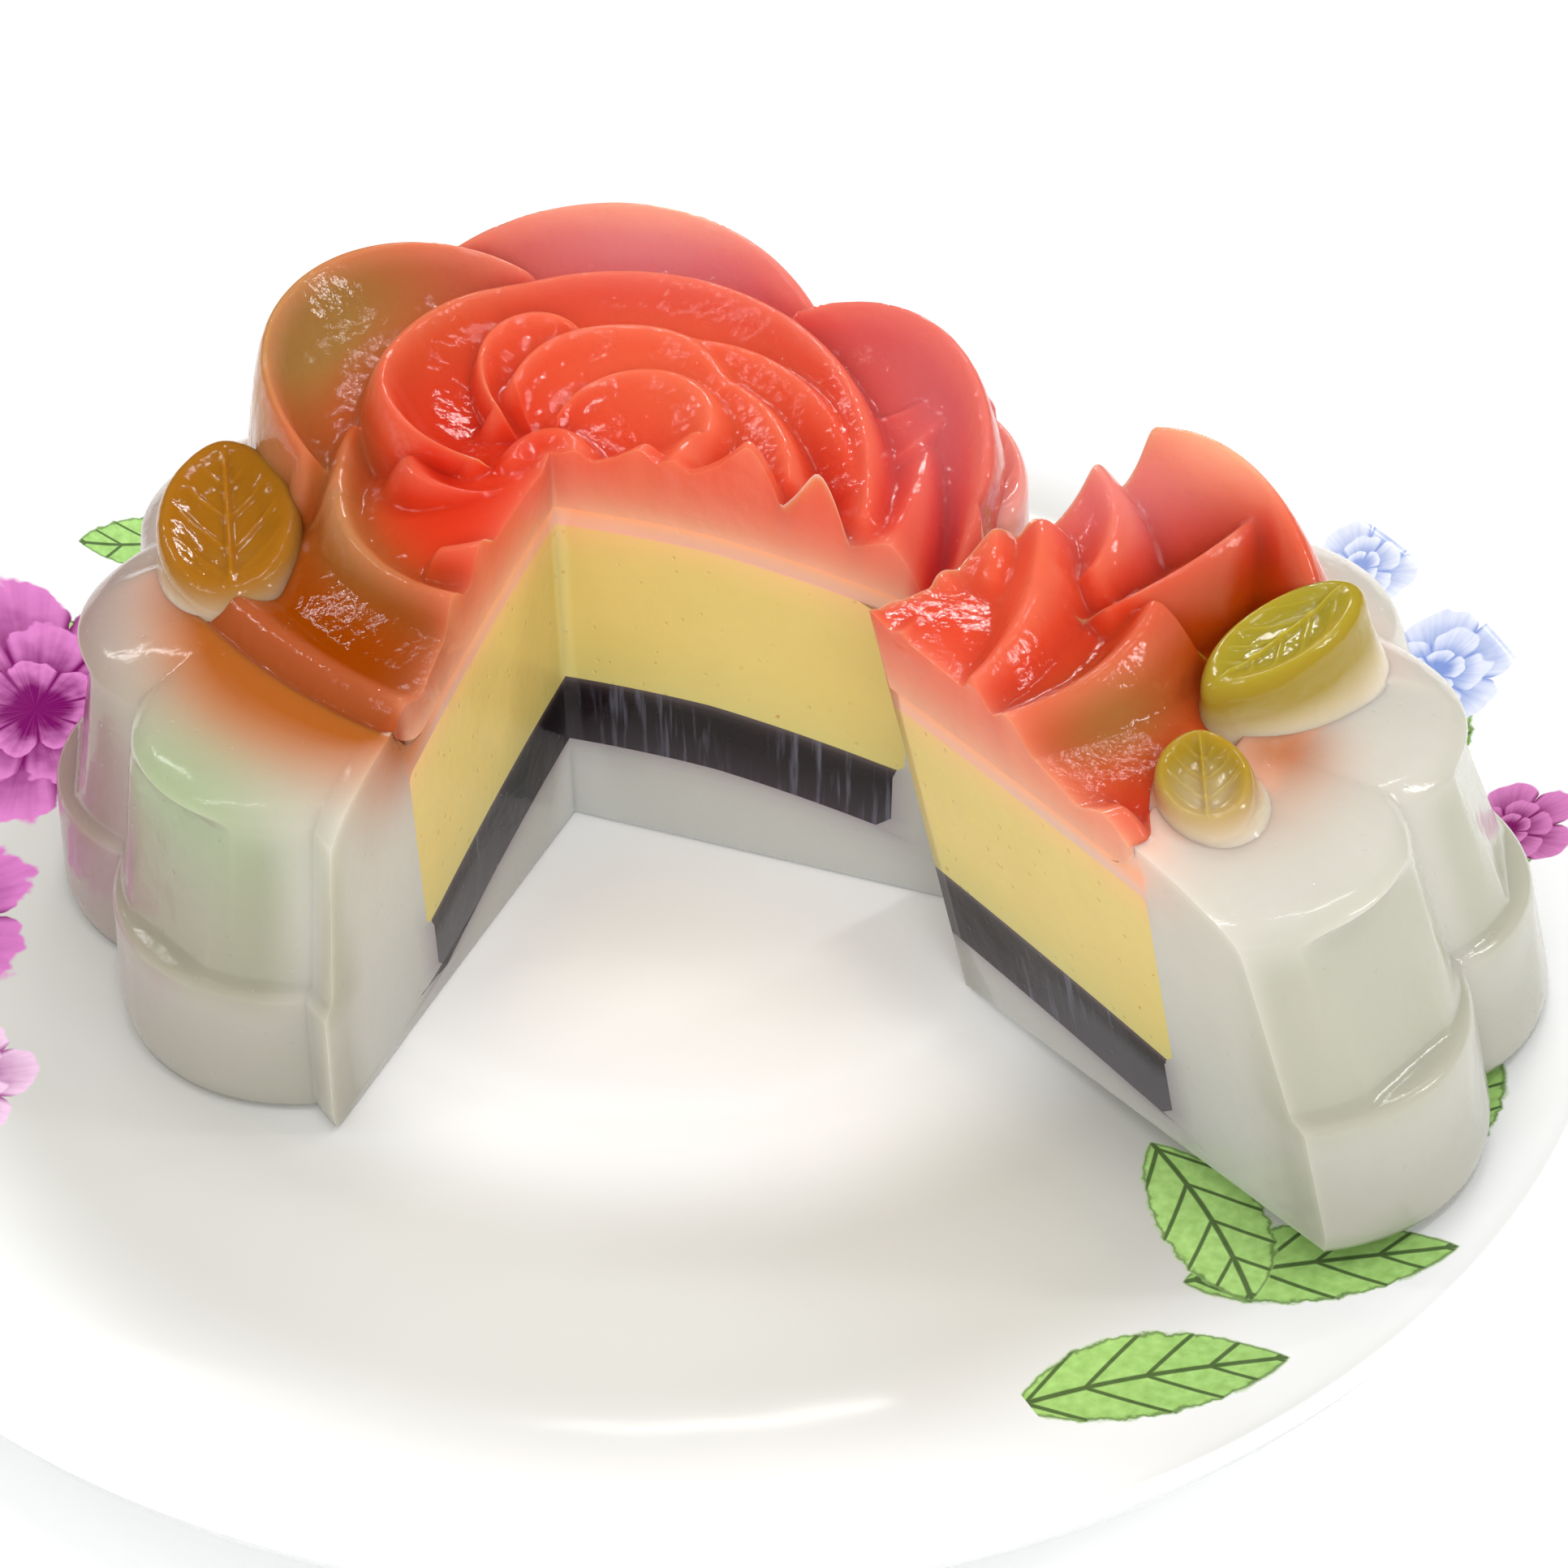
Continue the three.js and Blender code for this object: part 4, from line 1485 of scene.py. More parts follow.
    def build_shell(self, finishes: Finishes, rose_edge: Array) -> None:
        """Builds the coconut shell round and between the layers.

        Args:
            finishes: The materials.
            rose_edge: The rose's edge in each direction.
        """
        base_steps, top_steps, levels = 8, 26, 7
        under, coffee_side, custard_side, over = self.cavity(base_steps, top_steps)
        radius, angle = self.sector.polar(rose_edge[:, None])
        edge_height = self.body.crown_height(radius[:, 0], angle[:, 0])
        heel = self.rose_floor(rose_edge[:, None], rose_edge)[:, 0] - SEAM
        side = self.body.side(self.sector.reach_of, rose_edge, edge_height, heel)
        base = side[:, :1, 0] * np.linspace(0, 1, base_steps)[None, :-1]
        base = np.stack([base, np.zeros_like(base)], axis=2)
        count = over.shape[1]
        lip_height = np.median(coffee_side[:, -1, 1]) - 0.5
        low = int(np.argmax(np.median(side[:, :, 1], axis=0) > lip_height))
        cavity_side = [filled(coffee_side, low), filled(custard_side, side.shape[1] - low)]
        outward = 1 - np.linspace(0, 1, count) ** 1.4
        outward = rose_edge[:, None] * ROSE_FIT * outward[None, :]
        under_rose = np.stack([outward, self.rose_floor(outward, rose_edge) - SEAM], axis=2)
        outer = np.concatenate([base, side, under_rose], axis=1)
        inner = np.concatenate([under, *cavity_side, over], axis=1)
        share = np.linspace(0, 1, levels)[None, None, :, None]
        section = inner[:, :, None, :] + (outer - inner)[:, :, None, :] * share
        turn = self.sector.angles[:, None, None]
        x = self.sector.tip[0] + section[..., 0] * np.cos(turn)
        y = self.sector.tip[1] + section[..., 0] * np.sin(turn)
        lattice = Lattice(np.stack([x, y, section[..., 1]], axis=3))
        near = np.linalg.norm(section - section[:, :, :1], axis=3)
        to_rose = np.linalg.norm(section - section[:, :, -1:], axis=3)
        near[:, -count:] = np.minimum(near, to_rose)[:, -count:]
        masks = self.shell_masks(lattice.points)
        masks["firm"] = np.exp(-near / FIRM_DEPTH)
        piece = lattice.build(f"{self.prefix}_shell", self.sector, masks)
        dress(piece, finishes.coconut, Slot.COCONUT, f"{self.prefix}_coconut_shell")

    def rose_floor(self, rho: Array, rose_edge: Array) -> Array:
        """Height of the rose's underside, which rises to the shell's crown along its edge.

        Args:
            rho: Distances from the tip.
            rose_edge: The rose's edge in each direction.

        Returns:
            Heights over the jelly's base.
        """
        x, y = self.sector.plan(rho)
        radius, angle = self.sector.polar(rose_edge[:, None])
        fall = ROSE_LIP + 1.2 * (rose_edge[:, None] - rho)
        return np.maximum(self.bed.rose_floor(x, y), self.body.crown_height(radius, angle) - fall)

    def shell_masks(self, points: Array) -> dict[str, Array]:
        """Tints of the shell: rose colour bleeding in, greyer low down, coffee from above.

        Args:
            points: Points of the shell.

        Returns:
            Numbers from 0 to 1 by mask.
        """
        masks = clouds(self.shell_tints, SHELL_MASKS, points)
        x, y, z = np.moveaxis(points, -1, 0)
        radius, angle = np.hypot(x, y), np.arctan2(y, x)
        off_centre = self.bed.off_centre(x, y)
        out = np.maximum(radius - (self.rose.reach(angle) - 0.6), 0)
        down = np.maximum(32.0 - z, 0)
        aside = np.maximum(off_centre - self.bed.custard_radius, 0)
        film = np.abs(self.bed.over_custard(x, y) + self.bed.film - z) + 6 * aside
        bled = np.exp(-np.minimum(np.hypot(out, down), film) / 2.4)
        masks["blush"] = np.clip(masks["blush"] + bled, 0, 1)
        outside = smoothstep(41.0, 46.0, radius)
        masks["low"] = np.clip(masks["low"] + smoothstep(26.0, 2.0, z) * outside, 0, 1)
        masks["inner"] = smoothstep(24.0, 4.0, z) * (1 - outside)
        masks["film"] = np.exp(-film / 1.2)
        # Painted shade on the flat panels, above the band and below the shoulder.
        panel_shade = smoothstep(1.0, 0.7, np.abs(lobe_offset(angle)) / (LOBE_ANGLE / 2))
        upright = smoothstep(10.0, 14.0, z) * smoothstep(32.0, 26.0, z)
        masks["panel_shade"] = self.panel_shade * panel_shade * upright * smoothstep(42.0, 46.0, radius)
        below = np.maximum(self.bed.under_coffee(x, y) - z, 0)
        beside = np.maximum(off_centre - self.bed.coffee_radius, 0)
        above = np.maximum(z - self.bed.under_custard(x, y), 0)
        stain = np.exp(-np.hypot(np.hypot(below, beside), above) / 1.6)
        masks["murk"] = np.clip(masks["murk"] + stain, 0, 1)
        return masks

    def build_rose(self, finishes: Finishes, rose_edge: Array) -> None:
        """Builds the rose on top.

        Args:
            finishes: The materials.
            rose_edge: The rose's edge in each direction.
        """
        share = np.linspace(0, 1, self.rose_steps)[None, :]
        rho = (rose_edge[:, None] * ROSE_FIT - SEAM) * share
        radius, angle = self.sector.polar(rho)
        roof = self.rose.top(radius, angle)
        tip = np.exp(-(rho / 1.2) ** 2)
        roof = roof * (1 - tip) + roof[:, :1].mean() * tip
        floor = self.rose_floor(rho, rose_edge)
        roof = np.maximum(roof, floor + ROSE_LIP)
        lattice = self.slab(rho, floor, roof, 9)
        masks = self.rose_masks(lattice.points, rho, floor, roof)
        masks["firm"] = np.minimum(
            lattice.points[..., 2] - floor[:, :, None], (rose_edge[:, None] - rho)[:, :, None])
        masks["firm"] = np.exp(-masks["firm"] / FIRM_DEPTH)
        piece = lattice.build(f"{self.prefix}_rose_petals", self.sector, masks)
        dress(piece, finishes.rose, Slot.ROSE, f"{self.prefix}_rose")

    def rose_masks(self, points: Array, rho: Array, floor: Array, roof: Array) -> dict[str, Array]:
        """Tints of the rose: painted shade deepening its hollows, and painted light making it paler
        on its ridges and over the film.

        Args:
            points: Points of the rose.
            rho: Distances from the tip.
            floor: Heights of its underside.
            roof: Heights of its upper side.

        Returns:
            Numbers from 0 to 1 by mask.
        """
        masks = clouds(self.rose_tints, ROSE_MASKS, points)
        radius, angle = self.sector.polar(rho)
        # Painted shade: darker where the surface lies below the mean of its neighbours inward and
        # outward.
        outer = self.rose.top(radius + HOLLOW_REACH, angle)
        around = 0.5 * (outer + self.rose.top(np.maximum(radius - HOLLOW_REACH, 0), angle))
        skin = np.exp(-(roof[:, :, None] - points[..., 2]) / 2.5)
        hollow = np.clip((around - roof) / 2.5, 0, 1)
        masks["hollow"] = masks["hollow"] + hollow[:, :, None] * skin
        # Painted light from the pale layer beneath: paler over the film near the cuts, fading
        # upwards.
        past = self.bed.off_centre(*self.sector.plan(rho)) - self.bed.custard_radius
        turned = self.sector.angles - self.sector.angles[0]
        to_cut = np.minimum(turned, turned[-1] - turned)[:, None] * rho
        low = 0.85 * (smoothstep(1.0, -1.0, past) * np.exp(-to_cut / 1.5))[:, :, None]
        low = low * np.exp(-(points[..., 2] - floor[:, :, None]) / self.fade)
        # Painted light on the ridges, where the thin jelly lets light through.
        ridge_light = 0.16 * np.clip((roof - around) / 2.0, 0, 1)[:, :, None] * skin
        masks["pale"] = np.clip(masks["pale"] + low + ridge_light, 0, 1)
        return masks

    def build_leaf(self, finishes: Finishes, name: str, form: LeafForm) -> None:
        """Builds one leaf, trimmed by the cuts.

        Args:
            finishes: The materials.
            name: The name of its node.
            form: Its shape.
        """
        points = form.lattice()
        if self.sector.end - self.sector.start < math.pi:
            for turn, side in ((self.sector.start, 1), (self.sector.end, -1)):
                normal = np.array([-math.sin(turn), math.cos(turn)]) * side
                beyond = np.minimum((points[..., :2] - np.array(self.sector.tip)) @ normal, 0)
                points[..., :2] -= beyond[..., None] * normal
        lattice = Lattice(points, wraps=True)
        shares = np.linspace(0, 1, points.shape[1])[None, :, None] * np.ones(points.shape[:3])
        masks = {
            "rim": (1 - 0.8 * form.green) * smoothstep(0.62, 0.95, shares),
            "green": np.full(points.shape[:3], form.green),
            "pale": smoothstep(36.5, 32.0, points[..., 2]),
            "firm": smoothstep(LEAF_FOOT + 2, LEAF_FOOT, points[..., 2]),
        }
        piece = lattice.build(f"{name}_relief", self.sector, masks)
        pink = name == "main_leaf_right"
        finish = finishes.pink_leaf if pink else finishes.leaf
        dress(piece, finish, Slot.PINK_LEAF if pink else Slot.LEAF, name)


# ---- the plate ------------------------------------------------------------------------------


@dataclass
class Plate:
    """The porcelain plate, turned round its axis by Geometry Nodes from its profile."""

    radius: float = 95.0
    floor: float = 3.7
    rim: float = 12.0
    well: float = 70.0
    wall: float = 2.6
    foot: float = 38.5
    sides: int = 288
    rings: int = 150

    def top(self, radius: float) -> float:
        """Height of the upper side."""
        share = min(max((radius - self.well) / (self.radius - self.well), 0), 1)
        return self.floor + (self.rim - self.floor) * share ** 2

    def profile(self) -> list[tuple[float, float]]:
        """The section from the middle of the upper side round the lip to the middle below.

        Returns:
            Radius and height of each corner.
        """
        outer = [self.well + (self.radius - self.well) * s for s in np.linspace(0.1, 0.96, 9)]
        well = [(-1, 0), (0.2, -0.06), (1.4, -0.22), (3, -0.2)]
        lip = [(-0.55, 0.0), (-0.2, -0.15), (0.0, -0.6), (-0.15, -1.3), (-0.7, -2.0)]
        ring = [(3, 0.95), (2.2, 0.15), (1.9, 0.0), (-0.9, 0.0), (-1.2, 0.15), (-2, 0.9)]
        return [
            (0.0, self.floor),
            *((self.foot + dx, self.floor + dz) for dx, dz in well),
            (self.well - 2, self.floor - 0.12),
            *((radius, self.top(radius)) for radius in outer),
            *((self.radius + dx, self.rim + dz) for dx, dz in lip),
            *((radius, self.top(radius) - self.wall) for radius in reversed(outer)),
            *((self.foot + dx, height) for dx, height in ring),
            (0.0, ring[-1][1]),
        ]

    def nodes(self, finish: bpy.types.Material) -> bpy.types.NodeTree:
        """The tree that turns a profile curve into a plate.

        Args:
            finish: The plate's material.

        Returns:
            The tree.
        """
        tree = bpy.data.node_groups.new("plate_turning", "GeometryNodeTree")
        tree.interface.new_socket("Profile", in_out="INPUT", socket_type="NodeSocketGeometry")
        for title in ("Sides", "Rings"):
            tree.interface.new_socket(title, in_out="INPUT", socket_type="NodeSocketInt")
        tree.interface.new_socket("Plate", in_out="OUTPUT", socket_type="NodeSocketGeometry")
        graph = Graph(tree)
        start = tree.nodes.new("NodeGroupInput")
        end = tree.nodes.new("NodeGroupOutput")
        grid = graph.add("GeometryNodeMeshGrid", {
            "Size X": 1.0, "Size Y": 1.0,
            "Vertices X": start.outputs["Sides"], "Vertices Y": start.outputs["Rings"],
        })
        place = graph.split(graph.add("GeometryNodeInputPosition").outputs[0])
        turn = graph.math("MULTIPLY", graph.math("ADD", place[0], 0.5), 2 * math.pi)
        share = graph.math("ADD", place[1], 0.5, clamp=True)
        sample = graph.add("GeometryNodeSampleCurve", mode="FACTOR", use_all_curves=True)
        graph.feed(sample.inputs["Curves"], start.outputs["Profile"])
        graph.feed(sample.inputs["Factor"], share)
        spot = graph.split(sample.outputs["Position"])
        back = graph.math("MULTIPLY", graph.math("SINE", turn), -1.0)
        x = graph.math("MULTIPLY", spot[0], graph.math("COSINE", turn))
        y = graph.math("MULTIPLY", spot[0], back)
        shape = grid.outputs["Mesh"]
        for kind, values in (
            ("GeometryNodeSetPosition", {"Position": graph.joined(x, y, spot[2])}),
            ("GeometryNodeMergeByDistance", {"Distance": 1e-6}),
            ("GeometryNodeSetShadeSmooth", {}),
            ("GeometryNodeRealizeInstances", {}),
            ("GeometryNodeSetMaterial", {"Material": finish}),
        ):
            shape = graph.add(kind, {"Geometry": shape, **values}).outputs[0]
        graph.feed(end.inputs[0], shape)
        return tree

    def build(self, finishes: Finishes) -> None:
        """Turns the plate and dresses it.

        Args:
            finishes: The materials.
        """
        curve = bpy.data.curves.new("plate_profile", "CURVE")
        curve.dimensions = "3D"
        points = self.profile()
        spline = curve.splines.new("POLY")
        spline.points.add(len(points) - 1)
        for point, (radius, height) in zip(spline.points, points):
            point.co = (radius * MM, 0, height * MM, 1)
        tree = self.nodes(finishes.porcelain)
        counts = {"Sides": self.sides + 1, "Rings": self.rings}
        piece = applied_nodes(linked("plate_profile", curve), tree, counts, "plate_glazed")
        dress(piece, finishes.porcelain, Slot.PORCELAIN, "plate")


def applied_nodes(
    maker: bpy.types.Object, tree: bpy.types.NodeTree, values: dict[str, object], name: str
) -> bpy.types.Object:
    """Runs a Geometry Nodes tree on an object and keeps the result as a plain mesh piece.

    Args:
        maker: The object that carries the modifier; it is removed afterwards.
        tree: The tree.
        values: Its inputs by name.
        name: Name of the finished piece.

    Returns:
        The finished piece.
    """
    modifier = maker.modifiers.new("nodes", "NODES")
    modifier.node_group = tree
    for item in tree.interface.items_tree:
        if item.item_type == "SOCKET" and item.in_out == "INPUT" and item.name in values:
            modifier[item.identifier] = values[item.name]
    depsgraph = bpy.context.evaluated_depsgraph_get()
    mesh = bpy.data.meshes.new_from_object(maker.evaluated_get(depsgraph))
    mesh.name = name
    maker.modifiers.remove(modifier)
    bpy.data.objects.remove(maker)
    mesh.update()
    return linked(name, mesh)


# ---- studio ---------------------------------------------------------------------------------


@dataclass(frozen=True)
class Lamp:
    """A soft rectangular light; without gleam it lights the jelly but isn't mirrored in it."""

    name: str
    place: tuple[float, float, float]
    size: tuple[float, float]
    watts: float
    gleam: bool = True
    target: tuple[float, float, float] = (0.0, 0.0, 0.02)
    colour: Colour = (255, 255, 255)

    def build(self) -> None:
        """Hangs the light."""
        data = bpy.data.lights.new(self.name, "AREA")
        data.shape = "RECTANGLE"
        data.size, data.size_y = self.size
        data.energy = self.watts
        data.color = rgba(self.colour)[:3]
        lamp = linked(self.name, data)
        lamp.location = self.place
        lamp.visible_glossy = self.gleam
        towards = Vector(self.target) - Vector(self.place)
        lamp.rotation_euler = towards.to_track_quat("-Z", "Y").to_euler()


@dataclass
class Studio:
    """Pale floor, soft light and camera."""

    lamps: tuple[Lamp, ...]
    sky: float = 0.76
    floor_tone: Colour = (250, 250, 250)
    floor_half: float = 3.0
    sensor: float = 36.0
    focal_in_frames: float = 3000 / 1932
    camera_place: tuple[float, float, float] = (0.01116, -0.19684, 0.16911)
    camera_pitch: float = math.radians(51.243)

    def build(self) -> None:
        """Builds the studio."""
        self.build_floor()
        self.build_sky()
        for lamp in self.lamps:
            lamp.build()
        camera = linked("camera", bpy.data.cameras.new("camera"))
        camera.data.lens = self.focal_in_frames * self.sensor
        camera.data.sensor_width = self.sensor
        camera.data.clip_start = 0.01
        camera.location = self.camera_place
        camera.rotation_euler = (self.camera_pitch, 0, 0)
        bpy.context.scene.camera = camera
        bpy.context.scene.view_settings.view_transform = "Standard"

    def build_floor(self) -> None:
        """A wide pale floor."""
        mesh = bpy.data.meshes.new("studio_floor")
        half = self.floor_half
        corners = [(-half, -half, 0), (half, -half, 0), (half, half, 0), (-half, half, 0)]
        mesh.from_pydata(corners, [], [(0, 1, 2, 3)])
        floor = linked("studio_floor", mesh)
        material, graph, shader = new_material("pale_floor")
        noise = graph.noise(graph.add("ShaderNodeTexCoord").outputs["Object"], 3.0, 2.0)
        low = tuple(c - 2 for c in self.floor_tone)
        graph.feed(shader["Base Color"], graph.mix(noise, rgba(low), rgba(self.floor_tone)))
        shader["Roughness"].default_value = 0.8
        mesh.materials.append(material)

    def build_sky(self) -> None:
        """Even white light from all round."""
        world = bpy.data.worlds.new("studio_sky")
        bpy.context.scene.world = world
        world.use_nodes = True
        background = world.node_tree.nodes["Background"]
        background.inputs[0].default_value = (1, 1, 1, 1)
        background.inputs[1].default_value = self.sky
        world.cycles_visibility.glossy = False


# ---- the object's own values ----------------------------------------------------------------

PETALS = (
    Petal(98, 172, (31, 36.4, 24.4), (47.5, 50.4, 42.6), 2.1, 5.5),
    Petal(34, 115, (33, 38, 36), (44, 52, 47), 2.3, 6),
    Petal(-16, 42, (40, 40.8, 32), (37.5, 49.8, 48), 2.4, 6),
    Petal(1, 13, (31, 37, 41.5), (41.6, 44, 46.6), 0.8, 1.0),
    Petal(-56, -23, (34.6, 32.6, 27), (37.5, 47.4, 50), 1.9, 5.5),
    Petal(-70, -42, (17.6, 23, 31), (42, 43, 44), 1.3, 2.6),
    Petal(156, 292, (22, 19.6, 21.5), (42, 40, 42.8), 1.4, 3),
    Petal(186, 247, (34.5, 29.6, 30), (35.6, 35.6, 35.4), 0.7, 1.2),
    Petal(98, 184, (27.5, 21.8, 7.5), (47.8, 47.4, 44), 1.2, 3.4, 0.25),
    Petal(-16, 104, (31, 28.6, 27), (42.5, 49.4, 47.8), 1.2, 3.4),
    Petal(-30, 6, (33, 34.5, 36.5), (40, 42, 43), 1.0, 0.8),
    Petal(-8, 56, (29.4, 25, 19.5), (43, 47.2, 47.5), 1.1, 2.6),
    Petal(-12, 34, (23.4, 21.3, 19), (44.2, 46, 46.5), 1.0, 2.2),
    Petal(84, 130, (17.5, 20.3, 8.5), (48, 47.8, 45.5), 1.1, 2.8),
    Petal(28, 112, (18.9, 18.6, 11), (46.5, 48.6, 46.5), 1.1, 2.6, 0.2),
    Petal(-56, -17, (16, 19.6, 20), (43.5, 46.8, 49), 1.4, 3.4),
    Petal(-126, -36, (15.7, 12, 12.8), (41.8, 44.6, 46.4), 1.2, 2.4),
    Petal(-36, 4, (13, 12.6, 14), (45, 46, 46), 1.0, 2),
    Petal(-72, -12, (7.6, 8.2, 9.6), (44, 45.8, 46.4), 1.0, 1.8),
    Petal(-80, 190, (3.2, 2.4, 3.6), (43.8, 45.4, 44), 0.9, 1.0),
    Petal(-4, 86, (14, 15.2, 6), (44.8, 47.2, 45), 0.9, 2.2),
    Petal(176, 226, (13.6, 11, 5), (43.4, 43.2, 42), 1.1, 1.6),
)

CUT_LEFT, CUT_RIGHT = math.radians(-112.2), math.radians(-19.7)
CUT_RADIUS = 50  # where the slice's cuts cross those of the main part
SLICE_TIP = (-6.4, -0.6)

MAIN_BED = Bed(centre=(3.6, 1.4), height=17.8, slope=(0.125, 0.162), sag=0.003)
SLICE_BED = Bed(centre=(1.0, -0.4), height=15.2, slope=(0.06, 0.11), sag=0.0008)

MAIN_LEAVES = {
    "main_leaf_left": LeafForm((-31.6, -0.8), (12.2, 7), 101, 40, 35.8, 1.0, 0.1),
    "main_leaf_right": LeafForm((41.6, 8), (9.5, 4.8), 100, 40.6, 38, 0.6),
}
SLICE_LEAVES = {
    "slice_leaf_large": LeafForm((13.8, -28.4), (10.2, 4.4), 170, 38.2, 40.6, 2.2, 0.9),
    "slice_leaf_small": LeafForm((-5, -31.2), (5.8, 4.2), 32, 37.4, 34.8, 3, 0.6),
}

MAIN_SHELL_TINTS = (
    Tint("green", 45, -134, 30, (9, 16, 9), 0.9),
    Tint("orange", 32, -165, 33, (5.5, 22, 7), 1.1),
    Tint("orange", 32, -138, 33, (6, 20, 7), 1.2),
    Tint("orange", 31, -118, 33, (5, 12, 6), 1.1),
    Tint("rust", 36.5, -142, 33, (4.5, 40, 6), 0.9),
    # Pink tone on the left lobes, darkened as painted shade where those sides turn from the light.
    Tint("pink", 50, 185, 22, (12, 38, 26), 1.0),
    Tint("pink", 44, 5, 30, (8, 16, 8), 0.3),
)
SLICE_SHELL_TINTS = (
    Tint("orange", 33, -81, 34, (4, 9, 5), 0.8),
    Tint("rust", 34, -92, 32, (5, 18, 4), 0.5),
    Tint("pink", 40, -40, 31, (8, 30, 6), 0.1),
)
MAIN_ROSE_TINTS = (
    Tint("olive", 34, 146, 46, (9, 34, 14), 1.2),
    Tint("olive", 21, 200, 41, (4, 40, 4), 0.9),
    Tint("orange", 36, 170, 39, (8, 28, 8), 1.1),
    Tint("orange", 30, 200, 37, (9, 40, 8), 1.3),
    Tint("orange", 27, 232, 36, (8, 34, 8), 1.3),
    # Pink tone of the back petals, made paler as painted light where they are thin.
    Tint("rosy_backlit", 37, 76, 50, (8, 34, 12), 1.0),
    Tint("rosy_backlit", 39, 14, 45, (7, 28, 12), 0.6),
    # Painted light: brighter coral round the rose's centre, where light comes in from the cut and
    # the pale layer beneath.
    Tint("coral_glow", 16, 40, 47, (16, 90, 5), 1.0),
    # Painted light on the top of the back petal.
    Tint("pale", 38, 78, 52, (7, 24, 3), 0.4),
)
SLICE_ROSE_TINTS = (
    # Painted light on the top of the slice's petals.
    Tint("pale", 30, -34, 49, (6, 20, 4), 0.7),
    # Pink tone, made paler as painted light where the petals are thin.
    Tint("rosy_backlit", 22, -28, 46, (8, 20, 5), 0.8),
    Tint("olive", 23, -100, 38, (5, 20, 4), 0.8),
    Tint("orange", 28, -66, 38, (9, 34, 6), 0.9),
    # Painted light: brighter coral round the slice's centre.
    Tint("coral_glow", 10, -70, 44, (10, 90, 5), 0.6),
)

BLOSSOMS = (
    Blossom((-73, 22), 10, 21, 7, (122, 14, 98), (222, 132, 200)),
    Blossom((-80, -14), 40, 16, 6, (118, 14, 96), (218, 128, 198)),
    Blossom((-68, -36), 15, 9, 6, (150, 50, 130), (244, 206, 234)),
    Blossom((84, 24), 0, 9, 5, (128, 152, 214), (226, 232, 250)),
    Blossom((79, 43), 30, 7, 5, (140, 160, 218), (232, 238, 252)),
    Blossom((86, -3), 12, 7, 6, (122, 22, 92), (214, 130, 190)),
    Blossom((-20, 84), 12, 11, 6, (140, 34, 118), (234, 176, 220)),
    Blossom((22, 85), 25, 8, 5, (132, 156, 214), (228, 234, 250)),
)
SPRIGS = (
    SprigRow(82, -60, 34, 14, 62, 11.5, 5.6, (132, 176, 84), (30, 46, 30)),
    SprigRow(72, -47, -20, 19, -30, 10.5, 5.2, (146, 190, 96), (34, 50, 32)),
    SprigRow(84, 96, 158, 15, 50, 9, 4.2, (132, 178, 88)),
)

LAMPS = (
    Lamp("left_window", (-0.6, 0.35, 0.55), (0.02, 0.3), 0.4),
    Lamp("back_window", (0.1, 0.65, 0.6), (0.34, 0.025), 1.2),
    Lamp("back_strip", (-0.05, 0.4, 0.85), (0.3, 0.012), 0.6),
    Lamp("top_box", (0.1, -0.1, 0.9), (0.12, 0.012), 0.7),
    Lamp("left_strip", (-0.5, -0.05, 0.75), (0.02, 0.35), 0.3),
    Lamp("right_box", (0.7, 0.0, 0.5), (0.05, 0.24), 0.9),
    Lamp("right_strip", (0.45, 0.2, 0.8), (0.02, 0.35), 0.5),
    Lamp("front_fill", (0.0, -0.75, 0.42), (0.6, 0.4), 2.8, gleam=False),
)


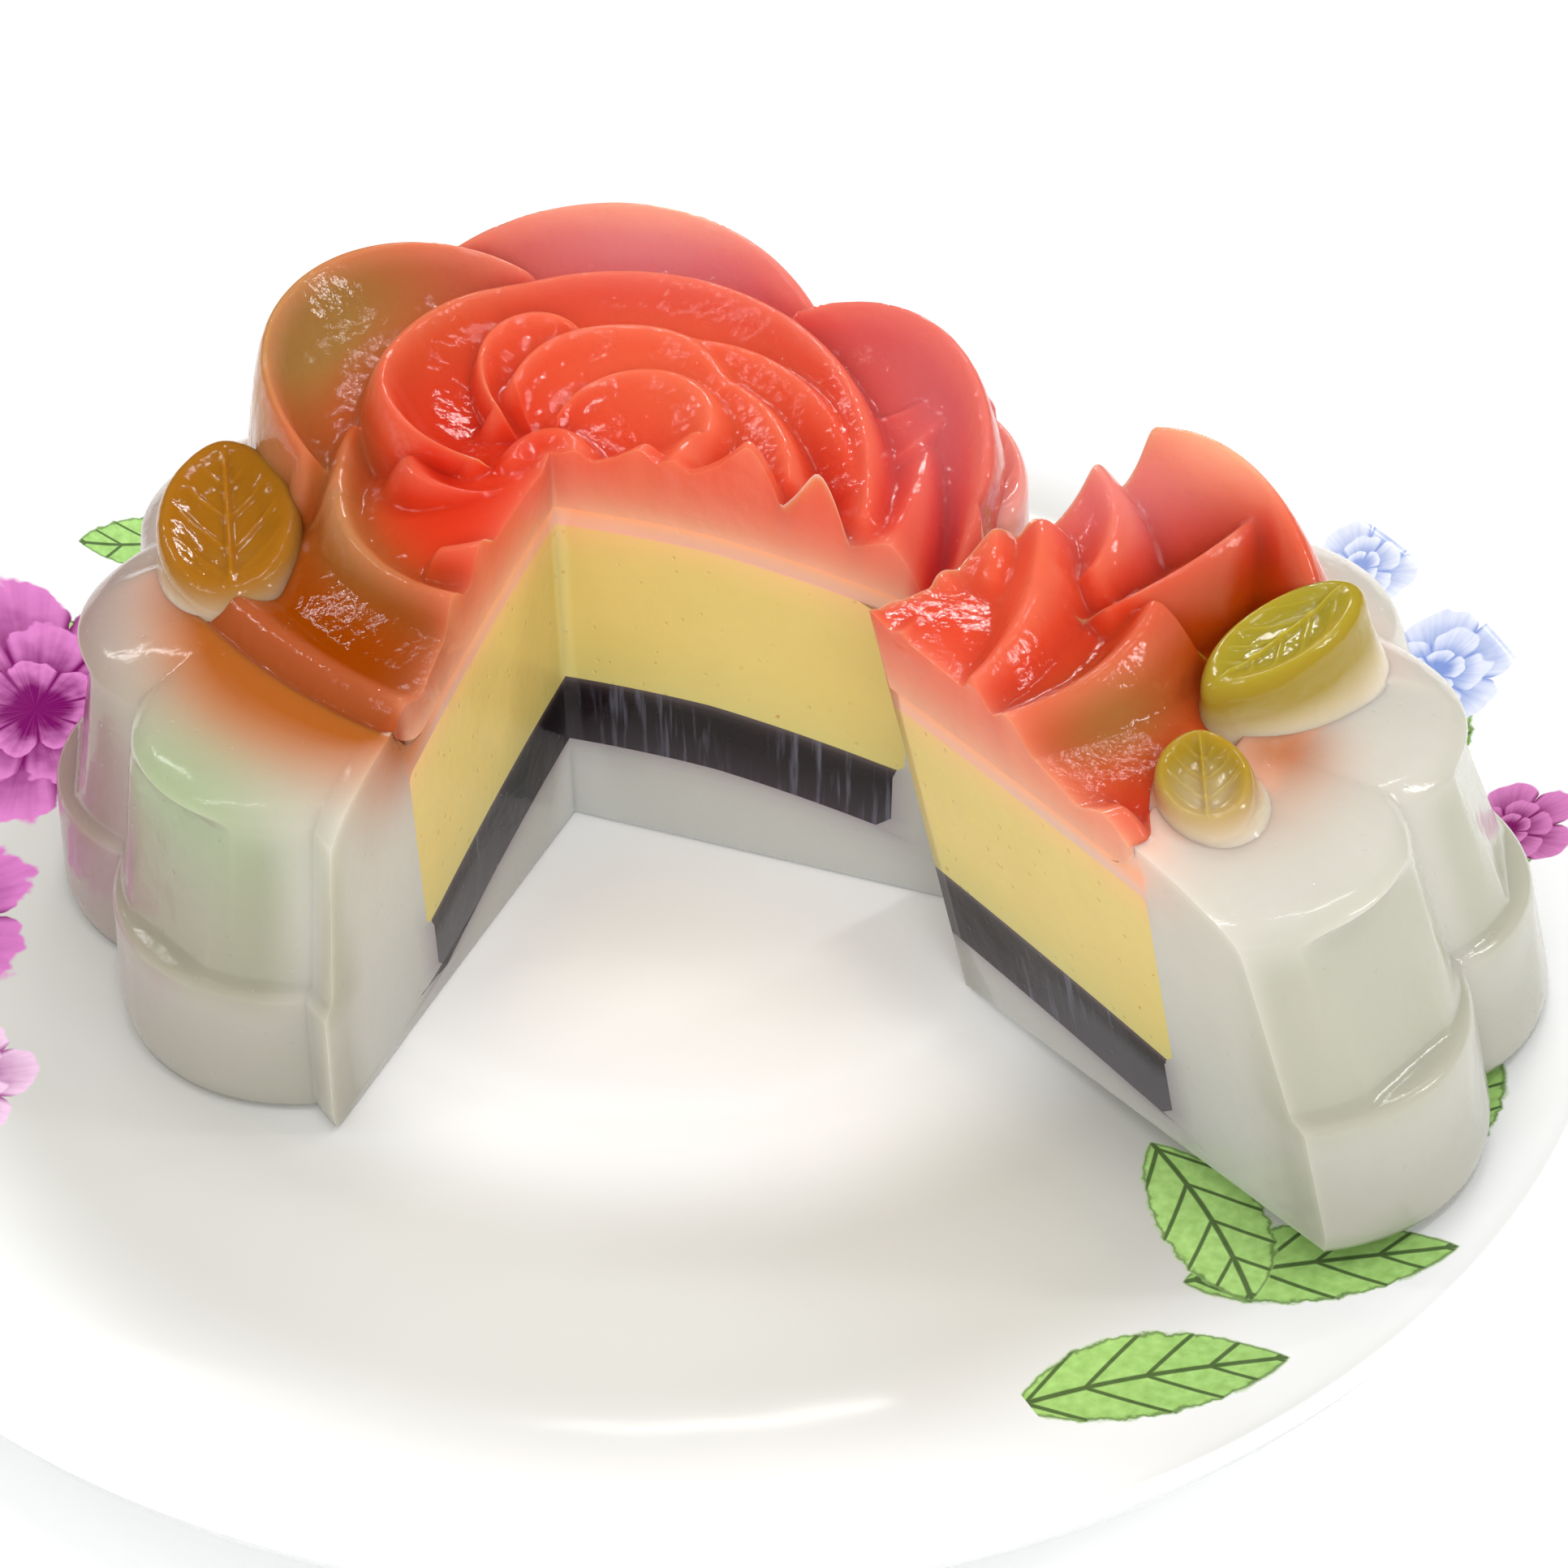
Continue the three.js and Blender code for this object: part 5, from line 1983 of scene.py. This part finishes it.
def build_finishes(effects: Effects) -> Finishes:
    """Builds every finish.

    Args:
        effects: The shared node groups.

    Returns:
        The finishes.
    """
    coconut = JellyFinish(
        "coconut_jelly", (205, 202, 192), (195, 192, 181),
        tints=(
            # the panel tint is painted shade on the flat panels
            ("low", (172, 170, 158)), ("inner", (192, 192, 186)), ("panel_shade", (162, 162, 140)),
            # the pink tint is pink tone darkened as painted shade on the left lobes
            ("murk", (158, 152, 154)), ("pink", (150, 122, 118)), ("green", (160, 176, 138)),
            ("rust", (186, 132, 88)), ("blush", (246, 184, 160)), ("film", (255, 168, 122)),
            ("orange", (170, 92, 34)),
        ),
        scatter=(7.0, 6.5, 5.5), scatter_scale=0.0006,
    )
    coffee = JellyFinish(
        "coffee_jelly", (28, 18, 22), (17, 11, 16),
        tints=(("fade", (80, 72, 80)), ("left", (92, 90, 96)), ("top", (90, 78, 78))),
        scatter=(2.0, 1.5, 1.5), scatter_scale=0.0003, streaks=(112, 112, 128), even=True,
    )
    custard = JellyFinish(
        "custard_jelly", (224, 202, 126), (216, 191, 112),
        tints=(("green", (206, 192, 118)), ("top", (236, 190, 124))),
        scatter=(5.0, 3.5, 1.5), scatter_scale=0.0004, roughness=0.2, pits=0.3,
        specks=(196, 138, 50),
    )
    rose = JellyFinish(
        "rose_jelly", (226, 62, 30), (210, 42, 22),
        tints=(
            # painted shade in the hollow tint, painted light in the coral and pale tints and in
            # part of the rosy tint
            ("hollow", (192, 22, 12)), ("coral_glow", (232, 98, 66)), ("rosy_backlit", (222, 126, 132)),
            ("orange", (160, 66, 0)), ("olive", (164, 120, 64)), ("pale", (255, 184, 148)),
        ),
        scatter=(10.0, 4.0, 2.4), clarity=0.12, roughness=0.035, ripple=1.0, pits=0.0,
    )
    leaf = JellyFinish(
        "leaf_jelly", (166, 102, 20), (146, 84, 14),
        tints=(("green", (160, 148, 46)), ("rim", (156, 110, 44)), ("pale", (222, 206, 182))),
        scatter=(7.0, 5.0, 2.0), scatter_scale=0.0006, roughness=0.06, ripple=0.7, pits=0.0,
    )
    pink_leaf = JellyFinish(
        "pink_leaf_jelly", (230, 150, 140), (216, 124, 114),
        tints=(("rim", (236, 176, 168)), ("pale", (230, 206, 200))),
        scatter=(9.0, 4.0, 3.0), roughness=0.06, pits=0.0,
    )
    porcelain = PorcelainFinish(blossoms=BLOSSOMS, sprigs=SPRIGS)
    finishes = (coconut, coffee, custard, rose, leaf, pink_leaf, porcelain)
    return Finishes(*(finish.build(effects) for finish in finishes))


def slice_side(cut: float, tip: tuple[float, float]) -> float:
    """Direction from the slice's tip to where a cut leaves the jelly."""
    x, y = CUT_RADIUS * math.cos(cut), CUT_RADIUS * math.sin(cut)
    return math.atan2(y - tip[1], x - tip[0])


def main() -> None:
    """Builds everything in order."""
    logging.basicConfig(level=logging.INFO, format="%(name)s: %(message)s")
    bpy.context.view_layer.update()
    finishes = build_finishes(Effects())
    rose = RoseForm(PETALS)
    Plate().build(finishes)
    whole = Sector((0.0, 0.0), CUT_RIGHT, CUT_LEFT + 2 * math.pi, math.radians(0.75))
    JellyPart(
        "main", whole, MAIN_BED, rose, MAIN_LEAVES, MAIN_SHELL_TINTS, MAIN_ROSE_TINTS,
    ).build(finishes)
    start, end = slice_side(CUT_LEFT, SLICE_TIP), slice_side(CUT_RIGHT, SLICE_TIP)
    pulled = PulledSector(SLICE_TIP, start, end, math.radians(0.5))
    JellyPart(
        "slice", pulled, SLICE_BED, rose, SLICE_LEAVES, SLICE_SHELL_TINTS, SLICE_ROSE_TINTS,
        panel_shade=0.6, fade=6.5, rose_steps=130,
    ).build(finishes)
    Studio(LAMPS).build()


if __name__ == "__main__":
    main()
